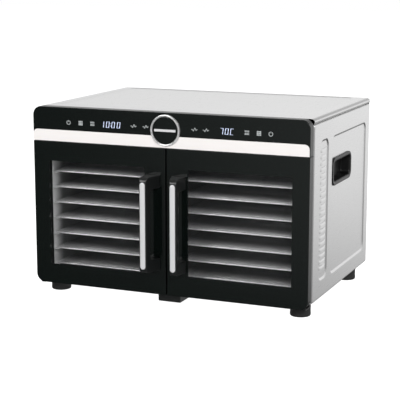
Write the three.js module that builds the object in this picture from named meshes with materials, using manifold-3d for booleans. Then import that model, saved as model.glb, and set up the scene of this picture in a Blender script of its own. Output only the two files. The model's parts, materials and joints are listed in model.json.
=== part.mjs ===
// Two-zone food dehydrator: a steel cabinet with two tray chambers side by side, two hinged
// glass doors, a touch panel above them, and a fan and ring heater behind each chamber.
//
// Millimetres, +Z up, +X to the right as one stands in front, +Y towards the back.
// Inside the cabinet group y = 0 is the front face of the door glass and z = 0 is the table.
import * as THREE from 'three';
import { mergeVertices } from 'three/addons/utils/BufferGeometryUtils.js';
import Module from 'manifold-3d';

const wasm = await Module();
wasm.setup();

// ---------------------------------------------------------------- driving dimensions
const GAP = 0.3; // clearance between touching pieces

const FRONT_HALF = 280; // half width of the doors and touch panel
const STEEL_HALF = 278.5; // half width of the steel cabinet
const FRONT_TOP = 369.6; // top of the touch panel
const FRONT_CORNER = 17; // outer corner radius of the front, seen from the front
const DOOR_BOTTOM = 22.4;
const DOOR_TOP = 303;
const DOOR_BACK = 24; // door thickness
const GLASS = 4; // door glass thickness
const DOOR_SEAM = 1.5; // half the seam between the doors
const HINGE_X = 270; // hinge axis, from the middle of the cabinet
const HINGE_Y = 12; // hinge axis, behind the glass face
const DOOR_HEEL = 8; // rounding of the door's back edge on the hinge side

const DOOR_OPENING = { x0: 33, x1: 257.5, z0: 54, z1: 272 }; // in the frame behind the glass
const PANEL_BOTTOM = 303.8;
const BAND_TOP = 325.9;
const BADGE_Z = 336.6;
const BADGE_R = 29.5;

const FRAME_FRONT = 25; // black front frame, in the seam between the doors and the steel
const FRAME_BACK = 28;
const FRAME_HALF = 277;
const STEEL_FRONT = FRAME_BACK + GAP;
const STEEL_BACK = 393.5;
const STEEL_BOTTOM = 27;
const STEEL_TOP = 368.3;
const SHEET = 1; // outer sheet thickness
const INNER_SHEET = 1.2; // chamber sheet thickness
const ROLL = 10; // radius of the rolled top edges
const SKIRT_BOTTOM = 357.4; // lower edge of the top cover's sides
const REAR_OUT = 396.3; // back of the power inlet's flange

const CHAMBER = { x0: 8, x1: 256, z0: 36, z1: 277 }; // right-hand chamber
const CHAMBER_MID = (CHAMBER.x0 + CHAMBER.x1) / 2;
const GUARD_Y = 330; // fan guard
const BULKHEAD_Y = 370; // plate that carries the motors
const FAN_Z = (CHAMBER.z0 + CHAMBER.z1) / 2;
const FAN_R = 60;

const TRAYS = 7;
const TRAY = { width: 244, depth: 291, thick: 3, rim: 3, bar: 2, slots: 10 };
const TRAY_FRONT = 31;
const TRAY_FIRST = 54; // underside of the lowest tray
const TRAY_PITCH = 30.7;
const RUNNER = { reach: 10, thick: 1.2, back: 325 };

const FOOT = { x: 251, yFront: 46, yRear: 340, r: 20, height: STEEL_BOTTOM };
const HANDLE = { z0: 70, z1: 252, reach: 38, barDepth: 12, post: 24 };
const HANDLE_ROOT = { x0: 11.3, x1: 41 }; // where the right-hand handle meets the door
const HANDLE_NOSE = { x0: 23.5, x1: 37.5 }; // its front face
const STRIP = { x: 30.3, width: 10.4, z0: 78.6, z1: 243, thick: 2 };
const HANDLE_REACH = HANDLE.reach + GAP + STRIP.thick;

const GRIP = { y0: 140.5, y1: 262.5, z0: 227, z1: 280, r: 15, lip: 5, wall: 2, floor: 258.5 };
const VENT = { y0: 68, y1: 111, z0: 78, pitch: 11.6, slots: 20, slot: 3 };
const INLET = { x: 205, z: 62, width: 28, height: 20, flange: 5, depth: 22, wall: 2 };
const PIN_R = 2.5;
const PIN_HOLE_R = 2.8;

// ---------------------------------------------------------------- shape helpers
const V = (x, y, z) => new THREE.Vector3(x, y, z);
const ALONG_X = new THREE.Matrix4().makeBasis(V(0, 1, 0), V(0, 0, 1), V(1, 0, 0));
const ALONG_Y = new THREE.Matrix4().makeBasis(V(1, 0, 0), V(0, 0, 1), V(0, -1, 0));
const QUARTER = Math.PI / 2;

/** Points of an arc, both ends included. */
function arc(cx, cy, r, from, to, steps) {
  const points = [];
  for (let i = 0; i <= steps; i += 1) {
    const angle = from + ((to - from) * i) / steps;
    points.push(new THREE.Vector2(cx + r * Math.cos(angle), cy + r * Math.sin(angle)));
  }
  return points;
}

/** Points of a rectangle; radii run bottom left, bottom right, top right, top left. */
function outline(x0, y0, x1, y1, radii = [0, 0, 0, 0], steps = 5) {
  const corners = [
    [x0, y0, 1, 1],
    [x1, y0, -1, 1],
    [x1, y1, -1, -1],
    [x0, y1, 1, -1],
  ];
  return corners.flatMap(([x, y, inX, inY], i) => {
    const r = radii[i];
    const from = QUARTER * (i + 2);
    return r ? arc(x + inX * r, y + inY * r, r, from, from + QUARTER, steps) : [new THREE.Vector2(x, y)];
  });
}

/** Points of a rectangular hole with one corner radius. */
function hole(x0, y0, x1, y1, r = 0, steps = 3) {
  return outline(x0, y0, x1, y1, [r, r, r, r], steps);
}

/** Extrudes an outline from one value to another and cuts its holes right through. */
function prism(points, from, to, holes, place) {
  const block = (edge, low, high) => {
    const settings = { depth: high - low, bevelEnabled: false };
    return place(new THREE.ExtrudeGeometry(new THREE.Shape(edge), settings), low, high);
  };
  const body = block(points, from, to);
  return holes.length ? cut(body, ...holes.map((edge) => block(edge, from - 1, to + 1))) : body;
}

/** An outline drawn in (y, z), with its holes, from x0 to x1. */
function prismX(points, x0, x1, holes = []) {
  return prism(points, x0, x1, holes, (g, low) => g.applyMatrix4(ALONG_X).translate(low, 0, 0));
}

/** An outline drawn in (x, z), with its holes, from y0 to y1. */
function prismY(points, y0, y1, holes = []) {
  return prism(points, y0, y1, holes, (g, low, high) => g.applyMatrix4(ALONG_Y).translate(0, high, 0));
}

/** An outline drawn in (x, y), with its holes, from z0 to z1. */
function prismZ(points, z0, z1, holes = []) {
  return prism(points, z0, z1, holes, (g, low) => g.translate(0, 0, low));
}

function box(x0, x1, y0, y1, z0, z1) {
  const size = V(x1 - x0, y1 - y0, z1 - z0);
  const middle = V(x0 + x1, y0 + y1, z0 + z1).multiplyScalar(0.5);
  return new THREE.BoxGeometry(size.x, size.y, size.z).translate(middle.x, middle.y, middle.z);
}

/** A round bar standing on z0. */
function barZ(x, y, z0, z1, r, sides = 16) {
  const bar = new THREE.CylinderGeometry(r, r, z1 - z0, sides);
  return bar.rotateX(QUARTER).translate(x, y, (z0 + z1) / 2);
}

/** A round bar along y. */
function barY(x, z, y0, y1, r, sides = 16) {
  return new THREE.CylinderGeometry(r, r, y1 - y0, sides).translate(x, (y0 + y1) / 2, z);
}

/** Mirrors a geometry across the cabinet's middle plane and keeps its faces pointing out. */
function mirrored(geometry) {
  const copy = bare(geometry).applyMatrix4(new THREE.Matrix4().makeScale(-1, 1, 1));
  const index = copy.index.array;
  for (let i = 0; i < index.length; i += 3) {
    [index[i], index[i + 1]] = [index[i + 1], index[i]];
  }
  return copy;
}

// ---------------------------------------------------------------- solid helpers
/** A copy with only positions and shared vertices. */
function bare(geometry) {
  const copy = geometry.clone();
  copy.deleteAttribute('normal');
  copy.deleteAttribute('uv');
  return mergeVertices(copy, 1e-4);
}

function solid(geometry) {
  const clean = bare(geometry);
  const vertProperties = new Float32Array(clean.attributes.position.array);
  const triVerts = new Uint32Array(clean.index.array);
  return new wasm.Manifold(new wasm.Mesh({ numProp: 3, vertProperties, triVerts }));
}

function surface(manifold) {
  const { vertProperties, triVerts } = manifold.getMesh();
  const geometry = new THREE.BufferGeometry();
  geometry.setAttribute('position', new THREE.BufferAttribute(vertProperties, 3));
  geometry.setIndex(new THREE.BufferAttribute(triVerts, 1));
  return geometry;
}

function joined(first, ...others) {
  return surface(others.reduce((sum, other) => sum.add(solid(other)), solid(first)));
}

function cut(first, ...tools) {
  return surface(tools.reduce((rest, tool) => rest.subtract(solid(tool)), solid(first)));
}

function common(first, second) {
  return surface(solid(first).intersect(solid(second)));
}

// ---------------------------------------------------------------- finishes
const FINISH = {
  steel: { color: 0xc9cacb, roughness: 0.35, metalness: 1 },
  innerSteel: { color: 0xb4b6b8, roughness: 0.45, metalness: 1 },
  black: { color: 0x141615, roughness: 0.4, metalness: 0 },
  blackGloss: { color: 0x0b0d0c, roughness: 0.08, metalness: 0 },
  band: { color: 0xe6e0da, roughness: 0.3, metalness: 1 },
  chrome: { color: 0xe2e2e2, roughness: 0.12, metalness: 1 },
  wire: { color: 0xd4d5d6, roughness: 0.25, metalness: 1 },
  glass: { color: 0x101312, roughness: 0.05, metalness: 0 },
  rubber: { color: 0x161616, roughness: 0.7, metalness: 0 },
  board: { color: 0x1d5a34, roughness: 0.5, metalness: 0 },
  motor: { color: 0x8d8f92, roughness: 0.4, metalness: 1 },
  fan: { color: 0xbfc1c3, roughness: 0.35, metalness: 1 },
  heater: { color: 0x5c4a40, roughness: 0.55, metalness: 1 },
};

const cabinet = new THREE.Group();
cabinet.position.set(0, (HANDLE_REACH - REAR_OUT) / 2, 0);

function add(name, geometry, finish, position = V(0, 0, 0)) {
  const mesh = new THREE.Mesh(geometry, new THREE.MeshStandardMaterial(FINISH[finish]));
  mesh.name = name;
  mesh.position.copy(position);
  cabinet.add(mesh);
}

/** Adds the right-hand piece and its mirror image on the left. */
function addPair(name, geometry, finish) {
  add(`${name}_right`, geometry, finish);
  add(`${name}_left`, mirrored(geometry), finish);
}

// ---------------------------------------------------------------- outer shell
/** Inverted channel with rolled side edges. */
function topCover() {
  const inner = ROLL - SHEET;
  const bend = STEEL_HALF - ROLL;
  const z = STEEL_TOP - ROLL;
  const section = [
    new THREE.Vector2(-STEEL_HALF, SKIRT_BOTTOM),
    new THREE.Vector2(-STEEL_HALF + SHEET, SKIRT_BOTTOM),
    ...arc(-bend, z, inner, 2 * QUARTER, QUARTER, 6),
    ...arc(bend, z, inner, QUARTER, 0, 6),
    new THREE.Vector2(STEEL_HALF - SHEET, SKIRT_BOTTOM),
    new THREE.Vector2(STEEL_HALF, SKIRT_BOTTOM),
    ...arc(bend, z, ROLL, 0, QUARTER, 6),
    ...arc(-bend, z, ROLL, QUARTER, 2 * QUARTER, 6),
  ];
  return prismY(section, STEEL_FRONT, STEEL_BACK);
}

/** Flat side sheet with a column of louvre slots and the cut-out for the grip. */
function sidePanel() {
  const holes = [];
  for (let i = 0; i < VENT.slots; i += 1) {
    const z = VENT.z0 + i * VENT.pitch;
    holes.push(hole(VENT.y0, z, VENT.y1, z + VENT.slot));
  }
  const inset = GRIP.lip - GAP;
  const gripHole = [GRIP.y0 + inset, GRIP.z0 + inset, GRIP.y1 - inset, GRIP.z1 - inset];
  holes.push(hole(...gripHole, GRIP.r - inset, 5));
  const sheet = outline(STEEL_FRONT, STEEL_BOTTOM, STEEL_BACK, SKIRT_BOTTOM - GAP);
  return prismX(sheet, STEEL_HALF - SHEET, STEEL_HALF, holes);
}

/** Back sheet with an outlet grille behind each fan and the power inlet's cut-out. */
function rearPanel() {
  const holes = [];
  const rows = 7;
  for (const side of [-1, 1]) {
    for (let row = 0; row < rows; row += 1) {
      const rise = (row - (rows - 1) / 2) * 14;
      const half = Math.sqrt(FAN_R ** 2 - rise ** 2);
      const z = FAN_Z + rise;
      holes.push(hole(side * CHAMBER_MID - half, z - 3, side * CHAMBER_MID + half, z + 3));
    }
  }
  const halfWidth = INLET.width / 2 + GAP;
  const halfHeight = INLET.height / 2 + GAP;
  holes.push(hole(INLET.x - halfWidth, INLET.z - halfHeight, INLET.x + halfWidth, INLET.z + halfHeight));
  const half = STEEL_HALF - SHEET - GAP;
  const sheet = outline(-half, STEEL_BOTTOM + GAP, half, STEEL_TOP - SHEET - GAP, [0, 0, ROLL, ROLL]);
  return prismY(sheet, STEEL_BACK - SHEET, STEEL_BACK, holes);
}

function basePan() {
  const half = STEEL_HALF - SHEET - GAP;
  const back = STEEL_BACK - SHEET - GAP;
  const sheet = outline(-half, STEEL_FRONT, half, back);
  const slots = [];
  for (const side of [-1, 1]) {
    for (let i = 0; i < 4; i += 1) {
      const y = 150 + i * 22;
      slots.push(hole(side * CHAMBER_MID - 45, y, side * CHAMBER_MID + 45, y + 6));
    }
  }
  return prismZ(sheet, STEEL_BOTTOM + GAP, STEEL_BOTTOM + GAP + INNER_SHEET, slots);
}

/** Black plate between the doors and the steel, with a mouth for each chamber. */
function frontFrame() {
  const mouths = [
    hole(CHAMBER.x0, CHAMBER.z0, CHAMBER.x1, CHAMBER.z1, 3),
    hole(-CHAMBER.x1, CHAMBER.z0, -CHAMBER.x0, CHAMBER.z1, 3),
  ];
  const r = FRONT_CORNER - 3;
  const plate = outline(-FRAME_HALF, STEEL_BOTTOM + GAP, FRAME_HALF, FRONT_TOP - 3, [r, r, r, r]);
  return prismY(plate, FRAME_FRONT, FRAME_BACK, mouths);
}

// ---------------------------------------------------------------- touch panel
function panelOutline(inset) {
  const r = FRONT_CORNER - inset;
  return outline(
    -FRONT_HALF + inset,
    PANEL_BOTTOM + inset,
    FRONT_HALF - inset,
    FRONT_TOP - inset,
    [0, 0, r, r],
  );
}

/** Open-backed box behind the touch glass, with holes for the upper hinge pins. */
function controlHousing() {
  const glassBack = 2 + GAP;
  const shell = prismY(panelOutline(0), glassBack, FRAME_FRONT - GAP);
  const hollow = prismY(panelOutline(2.5), glassBack + 2.5, FRAME_FRONT);
  const pinHoles = [-1, 1].map((side) =>
    barZ(side * HINGE_X, HINGE_Y, PANEL_BOTTOM - 2, PANEL_BOTTOM + 4, PIN_HOLE_R + 0.4),
  );
  return cut(shell, hollow, ...pinHoles);
}

function controlGlass() {
  return prismY(panelOutline(0), 0, 2);
}

/** Bright band along the foot of the touch panel, notched round the badge. */
function trimBand() {
  const half = FRONT_HALF - 1;
  const bar = outline(-half, PANEL_BOTTOM + 0.2, half, BAND_TOP, [0, 0, 9, 9]);
  const notch = barY(0, BADGE_Z, -5, 1, BADGE_R + GAP, 40);
  return cut(prismY(bar, -1.6, -GAP), notch);
}

/** Round badge: a raised ring round a flat disc. */
function badge() {
  const profile = [
    [0, GAP],
    [BADGE_R, GAP],
    [BADGE_R, 3.6],
    [BADGE_R - 1.2, 4.8],
    [BADGE_R - 3.2, 4.8],
    [BADGE_R - 4.2, 3],
    [0, 3],
  ];
  const points = profile.map(([r, h]) => new THREE.Vector2(r, h));
  return new THREE.LatheGeometry(points, 36).rotateX(2 * QUARTER).translate(0, 0, BADGE_Z);
}

/** Circuit board of the touch panel, on four posts against the housing's front wall. */
function controlBoard() {
  const plate = box(-236, 236, 12, 13.6, 318, 352);
  const wall = 2 + GAP + 2.5 + GAP;
  const posts = [];
  for (const x of [-226, 226]) {
    for (const z of [324, 346]) posts.push(barY(x, z, wall, 12.8, 3, 8));
  }
  return joined(plate, ...posts);
}

/** Mains board on four posts above the chamber ceiling. */
function powerBoard() {
  const plate = box(-75, 75, 190, 290, 292, 293.6);
  const posts = [];
  for (const x of [-67, 67]) {
    for (const y of [198, 282]) posts.push(barZ(x, y, CHAMBER.z1 + 2 * GAP + INNER_SHEET, 293, 3, 8));
  }
  return joined(plate, ...posts);
}

/** Flush power socket in the back panel, open to the rear. */
function powerInlet() {
  const { x, z, width, height, flange, depth, wall } = INLET;
  const w = width / 2;
  const h = height / 2;
  const body = box(x - w, x + w, STEEL_BACK - depth + 4, REAR_OUT - 1, z - h, z + h);
  const rim = box(
    x - w - flange,
    x + w + flange,
    STEEL_BACK + GAP,
    REAR_OUT,
    z - h - flange,
    z + h + flange,
  );
  const socket = box(
    x - w + wall,
    x + w - wall,
    STEEL_BACK - depth + 4 + wall,
    REAR_OUT + 1,
    z - h + wall,
    z + h - wall,
  );
  return cut(joined(body, rim), socket);
}

// ---------------------------------------------------------------- chambers
function trayZ(level) {
  return TRAY_FIRST + level * TRAY_PITCH;
}

/** Ledges that carry the trays, between two x values. */
function runners(x0, x1) {
  const ledges = [];
  for (let level = 0; level < TRAYS; level += 1) {
    const top = trayZ(level) - GAP;
    ledges.push(box(x0, x1, STEEL_FRONT, RUNNER.back, top - RUNNER.thick, top));
  }
  return ledges;
}

function rackWall() {
  const x0 = CHAMBER.x1 + GAP;
  const wall = box(x0, x0 + INNER_SHEET, STEEL_FRONT, BULKHEAD_Y - GAP, CHAMBER.z0, CHAMBER.z1);
  return joined(wall, ...runners(x0 - RUNNER.reach, x0 + INNER_SHEET / 2));
}

/** Hollow wall between the chambers, with runners on both faces. */
function centreDivider() {
  const half = CHAMBER.x0 - GAP;
  const skin = outline(-half, CHAMBER.z0, half, CHAMBER.z1);
  const cavity = hole(-half + SHEET, CHAMBER.z0 + SHEET, half - SHEET, CHAMBER.z1 - SHEET);
  const wall = prismY(skin, STEEL_FRONT, BULKHEAD_Y - GAP, [cavity]);
  const ledges = [
    ...runners(half - SHEET / 2, half + RUNNER.reach),
    ...runners(-half - RUNNER.reach, -half + SHEET / 2),
  ];
  return joined(wall, ...ledges);
}

function chamberSheet(z0) {
  const half = CHAMBER.x1 + GAP + INNER_SHEET;
  return box(-half, half, STEEL_FRONT, BULKHEAD_Y - GAP, z0, z0 + INNER_SHEET);
}

/** Sheet between the trays and the fan, with slots inside a circle. */
function fanGuard() {
  const slots = [];
  const count = 9;
  for (let i = 0; i < count; i += 1) {
    const shift = (i - (count - 1) / 2) * 18;
    const half = Math.sqrt(90 ** 2 - shift ** 2);
    const x = CHAMBER_MID + shift;
    slots.push(hole(x - 4, FAN_Z - half, x + 4, FAN_Z + half));
  }
  const sheet = outline(CHAMBER.x0, CHAMBER.z0, CHAMBER.x1, CHAMBER.z1);
  return prismY(sheet, GUARD_Y, GUARD_Y + INNER_SHEET, slots);
}

function motorBulkhead() {
  const half = STEEL_HALF - SHEET - GAP;
  const sheet = outline(-half, 29, half, STEEL_TOP - SHEET - GAP, [0, 0, ROLL, ROLL]);
  const holes = [-1, 1].map((side) => {
    const x = side * CHAMBER_MID;
    return hole(x - 7, FAN_Z - 7, x + 7, FAN_Z + 7, 3);
  });
  return prismY(sheet, BULKHEAD_Y, BULKHEAD_Y + INNER_SHEET, holes);
}

const MOTOR_FRONT = BULKHEAD_Y + INNER_SHEET + GAP;

/** Round motor with a blind bore for the fan's shaft. */
function fanMotor() {
  const can = barY(CHAMBER_MID, FAN_Z, MOTOR_FRONT, STEEL_BACK - SHEET - 2, 32, 20);
  const bore = barY(CHAMBER_MID, FAN_Z, MOTOR_FRONT - 1, MOTOR_FRONT + 12, 3.4, 12);
  return cut(can, bore);
}

/** Radial fan: hub, shaft and eight blades. */
function fan() {
  const hub = barY(CHAMBER_MID, FAN_Z, 338, 362, 14, 16);
  const shaft = barY(CHAMBER_MID, FAN_Z, 350, MOTOR_FRONT + 10, 3, 12);
  const blades = [];
  for (let i = 0; i < 8; i += 1) {
    const blade = box(12, FAN_R, 340, 360, -0.75, 0.75);
    blade.rotateY((i * QUARTER) / 2);
    blades.push(blade.translate(CHAMBER_MID, 0, FAN_Z));
  }
  return joined(hub, shaft, ...blades);
}

/** Ring heater round the fan, on three struts from the bulkhead. */
function heater() {
  const ring = new THREE.TorusGeometry(78, 4.5, 8, 30).rotateX(QUARTER);
  ring.translate(CHAMBER_MID, 350, FAN_Z);
  const struts = [0, 1, 2].map((i) => {
    const turn = QUARTER + (i * 4 * QUARTER) / 3;
    const x = CHAMBER_MID + 78 * Math.cos(turn);
    const z = FAN_Z + 78 * Math.sin(turn);
    return box(x - 2, x + 2, 350, BULKHEAD_Y - GAP, z - 2, z + 2);
  });
  return joined(ring, ...struts);
}

/** Wire tray drawn as a rim with long bars, its middle at x = 0 and its underside at z = 0. */
function tray() {
  const half = TRAY.width / 2;
  const pitch = (TRAY.width - 2 * TRAY.rim + TRAY.bar) / TRAY.slots;
  const slots = [];
  for (let i = 0; i < TRAY.slots; i += 1) {
    const x = -half + TRAY.rim + i * pitch;
    slots.push(hole(x, TRAY.rim, x + pitch - TRAY.bar, TRAY.depth - TRAY.rim));
  }
  const rim = outline(-half, 0, half, TRAY.depth, [6, 6, 6, 6], 2);
  return prismZ(rim, 0, TRAY.thick, slots);
}

// ---------------------------------------------------------------- feet, hinges and grips
/** Round rubber foot, slightly wider at its shoulder. */
function foot() {
  const points = [
    [0, 0],
    [FOOT.r - 2, 0],
    [FOOT.r, 2],
    [FOOT.r, FOOT.height],
    [0, FOOT.height],
  ].map(([r, z]) => new THREE.Vector2(r, z));
  return new THREE.LatheGeometry(points, 24).rotateX(QUARTER);
}

/** Stop block under the meeting line of the doors, held under the base pan. */
function centreSupport() {
  const side = [
    [13, 6.3],
    [70, 6.3],
    [70, STEEL_BOTTOM],
    [STEEL_FRONT, STEEL_BOTTOM],
    [STEEL_FRONT, DOOR_BOTTOM - 0.9],
    [13, DOOR_BOTTOM - 0.9],
  ].map(([y, z]) => new THREE.Vector2(y, z));
  return prismX(side, -23, 23);
}

/** Strap under the door with a pin up into the door frame. */
function lowerHinge() {
  const top = DOOR_BOTTOM - 0.4;
  const strap = box(265, 274, 7, 31, top - 2, top);
  const tab = box(265, 274, STEEL_FRONT, 31, top - 1, STEEL_BOTTOM);
  const pin = barZ(HINGE_X, HINGE_Y, top - 1, DOOR_BOTTOM + 10, PIN_R);
  return joined(strap, tab, pin);
}

/** Strap inside the touch panel housing with a pin down into the door frame. */
function upperHinge() {
  const bottom = PANEL_BOTTOM + 2.5 + GAP;
  const strap = box(262, 276, 6, FRAME_FRONT - GAP, bottom, bottom + 2);
  const tab = box(262, 276, FRAME_FRONT - GAP - 2, FRAME_FRONT - GAP, bottom + 1, bottom + 14);
  const pin = barZ(HINGE_X, HINGE_Y, DOOR_TOP - 10, bottom + 1, PIN_R);
  return joined(strap, tab, pin);
}

/** Black cup let into the side sheet, with a lip round its mouth. */
function grip() {
  const { y0, y1, z0, z1, r, lip, wall, floor } = GRIP;
  const face = FRONT_HALF;
  const cupOutline = (inset) =>
    outline(y0 + inset, z0 + inset, y1 - inset, z1 - inset, Array(4).fill(r - inset));
  const rim = prismX(cupOutline(0), STEEL_HALF + GAP, face);
  const cup = prismX(cupOutline(lip), floor, STEEL_HALF + 1);
  const hollow = prismX(cupOutline(lip + wall), floor + wall, face + 1);
  return cut(joined(rim, cup), hollow);
}

// ---------------------------------------------------------------- doors
/** Right-hand door as seen from the front, rounded only at its lower outer corner. */
function doorOutline() {
  return outline(DOOR_SEAM, DOOR_BOTTOM, FRONT_HALF, DOOR_TOP, [0, FRONT_CORNER, 0, 0]);
}

function doorGlass() {
  return prismY(doorOutline(), 0, GLASS);
}

/** Frame behind the glass, with its heel rounded so that it turns clear of the cabinet. */
function doorFrame() {
  const front = GLASS + GAP;
  const opening = hole(DOOR_OPENING.x0, DOOR_OPENING.z0, DOOR_OPENING.x1, DOOR_OPENING.z1, 3);
  const face = prismY(doorOutline(), front, DOOR_BACK, [opening]);
  const plan = outline(0, front - 1, FRONT_HALF, DOOR_BACK, [0, 0, DOOR_HEEL, 0]);
  const sockets = [
    barZ(HINGE_X, HINGE_Y, DOOR_BOTTOM - 1, DOOR_BOTTOM + 11, PIN_HOLE_R),
    barZ(HINGE_X, HINGE_Y, DOOR_TOP - 11, DOOR_TOP + 1, PIN_HOLE_R),
  ];
  return cut(common(face, prismZ(plan, 0, FRONT_TOP)), ...sockets);
}

/** D-shaped pull that narrows from the door to its front bar. */
function handle() {
  const { z0, z1, reach, barDepth, post } = HANDLE;
  const side = outline(-reach, z0, -GAP, z1, [10, 0, 0, 10], 4);
  const fingerGap = outline(-reach + barDepth, z0 + post, 5, z1 - post, [6, 0, 0, 6], 3);
  const plan = [
    [HANDLE_NOSE.x0, -reach],
    [HANDLE_NOSE.x1, -reach],
    [HANDLE_ROOT.x1, -GAP],
    [HANDLE_ROOT.x0, -GAP],
  ].map(([x, y]) => new THREE.Vector2(x, y));
  const body = common(prismX(side, 0, 60), prismZ(plan, z0 - 1, z1 + 1));
  return cut(body, prismX(fingerGap, -1, 61));
}

function handleStrip() {
  const { x, width, z0, z1, thick } = STRIP;
  const r = width / 2 - 0.1;
  const bar = outline(x - width / 2, z0, x + width / 2, z1, [r, r, r, r]);
  return prismY(bar, -HANDLE_REACH, -HANDLE_REACH + thick);
}

// ---------------------------------------------------------------- assembly
add('top_cover', topCover(), 'steel');
addPair('side_panel', sidePanel(), 'steel');
add('rear_panel', rearPanel(), 'steel');
add('base_pan', basePan(), 'innerSteel');
add('front_frame', frontFrame(), 'black');

add('control_housing', controlHousing(), 'black');
add('control_glass', controlGlass(), 'blackGloss');
add('trim_band', trimBand(), 'band');
add('badge', badge(), 'chrome');
add('control_board', controlBoard(), 'board');
add('power_board', powerBoard(), 'board');
add('power_inlet', powerInlet(), 'black');

add('chamber_ceiling', chamberSheet(CHAMBER.z1 + GAP), 'innerSteel');
add('chamber_floor', chamberSheet(CHAMBER.z0 - GAP - INNER_SHEET), 'innerSteel');
addPair('rack_wall', rackWall(), 'innerSteel');
add('centre_divider', centreDivider(), 'innerSteel');
addPair('fan_guard', fanGuard(), 'innerSteel');
add('motor_bulkhead', motorBulkhead(), 'innerSteel');
addPair('fan_motor', fanMotor(), 'motor');
addPair('fan', fan(), 'fan');
addPair('heater', heater(), 'heater');

for (const [place, y] of [['front', FOOT.yFront], ['rear', FOOT.yRear]]) {
  add(`foot_${place}_left`, foot(), 'rubber', V(-FOOT.x, y, 0));
  add(`foot_${place}_right`, foot(), 'rubber', V(FOOT.x, y, 0));
}
add('centre_support', centreSupport(), 'black');
addPair('hinge_lower', lowerHinge(), 'black');
addPair('hinge_upper', upperHinge(), 'black');
addPair('grip', grip(), 'black');

addPair('door_glass', doorGlass(), 'glass');
addPair('door_frame', doorFrame(), 'black');
addPair('handle', handle(), 'black');
addPair('handle_strip', handleStrip(), 'wire');

for (const [side, sign] of [['left', -1], ['right', 1]]) {
  for (let level = 0; level < TRAYS; level += 1) {
    add(`tray_${side}_${level + 1}`, tray(), 'wire', V(sign * CHAMBER_MID, TRAY_FRONT, trayZ(level)));
  }
}

const dehydrator = new THREE.Group();
dehydrator.add(cabinet);
export default dehydrator;
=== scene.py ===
"""Looks for the two-zone food dehydrator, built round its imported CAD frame.

Lengths are metres in the frame's own axes: +X right, +Y back, +Z up, z = 0 on the table.
"""
from __future__ import annotations

import json
import logging
import math
import sys
from dataclasses import dataclass
from enum import Enum
from typing import Callable, Sequence

import bmesh
import bpy
from mathutils import Matrix, Vector
from mathutils.geometry import tessellate_polygon

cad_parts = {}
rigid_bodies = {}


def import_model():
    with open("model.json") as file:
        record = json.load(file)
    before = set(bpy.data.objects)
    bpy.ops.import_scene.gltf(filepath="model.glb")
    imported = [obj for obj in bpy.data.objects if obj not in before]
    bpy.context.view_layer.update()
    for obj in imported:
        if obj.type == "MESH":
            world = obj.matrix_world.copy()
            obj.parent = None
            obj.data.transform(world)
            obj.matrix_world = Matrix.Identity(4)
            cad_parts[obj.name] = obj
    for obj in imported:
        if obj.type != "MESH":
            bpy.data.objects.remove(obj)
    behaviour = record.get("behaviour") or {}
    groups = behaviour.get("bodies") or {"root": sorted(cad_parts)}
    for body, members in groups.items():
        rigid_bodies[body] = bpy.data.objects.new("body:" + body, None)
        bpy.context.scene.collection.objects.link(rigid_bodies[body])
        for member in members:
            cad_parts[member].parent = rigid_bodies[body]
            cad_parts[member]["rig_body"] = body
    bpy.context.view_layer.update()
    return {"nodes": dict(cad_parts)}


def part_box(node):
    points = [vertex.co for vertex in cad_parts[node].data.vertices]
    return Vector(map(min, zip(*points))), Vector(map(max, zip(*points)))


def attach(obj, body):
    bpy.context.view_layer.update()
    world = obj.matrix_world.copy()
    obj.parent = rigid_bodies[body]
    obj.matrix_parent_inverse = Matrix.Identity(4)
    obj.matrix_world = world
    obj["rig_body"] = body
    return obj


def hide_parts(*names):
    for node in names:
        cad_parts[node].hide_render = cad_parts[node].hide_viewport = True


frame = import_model()

LOG = logging.getLogger("dehydrator")
MM = 0.001
CABINET = "cabinet"
WELD = 0.01 * MM
CAD_WELD = 0.004 * MM
FLAT_ANGLE = math.radians(0.2)
CAD_FLAT_ANGLE = math.radians(0.3)
LEAST_RADIUS = 0.05 * MM
LEAST_CAP = 0.02 * MM
Point = tuple[float, float]
Triple = tuple[float, float, float]
Colour = Triple
Four = tuple[float, float, float, float]
Loop = list[Vector]
Row = list[bmesh.types.BMVert]
Place = Callable[[float, float, float], Vector]
BMesh = bmesh.types.BMesh
Socket = bpy.types.NodeSocket


class Side(Enum):
    """Left or right half of the appliance, with the sign of its x axis."""

    LEFT = -1
    RIGHT = 1

    @property
    def word(self) -> str:
        """The side's name as the CAD nodes spell it."""
        return self.name.lower()

    def outer(self, low: Vector, high: Vector) -> float:
        """The x of a box's face that looks away from the cabinet's middle."""
        return high.x if self is Side.RIGHT else low.x


class Slot(str, Enum):
    """Material slots of the record."""

    OUTER_STEEL = "outer_steel"
    INNER_STEEL = "inner_steel"
    BLACK_PLASTIC = "black_plastic"
    BLACK_GLOSS = "black_gloss"
    DOOR_GLASS = "door_glass"
    BAND = "band"
    CHROME = "badge_chrome"
    WIRE = "tray_wire"
    STRIP = "strip_steel"
    RUBBER = "rubber"
    BOARD = "circuit_board"
    MOTOR = "motor_case"
    FAN = "fan_blade"
    HEATER = "heater_tube"


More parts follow.
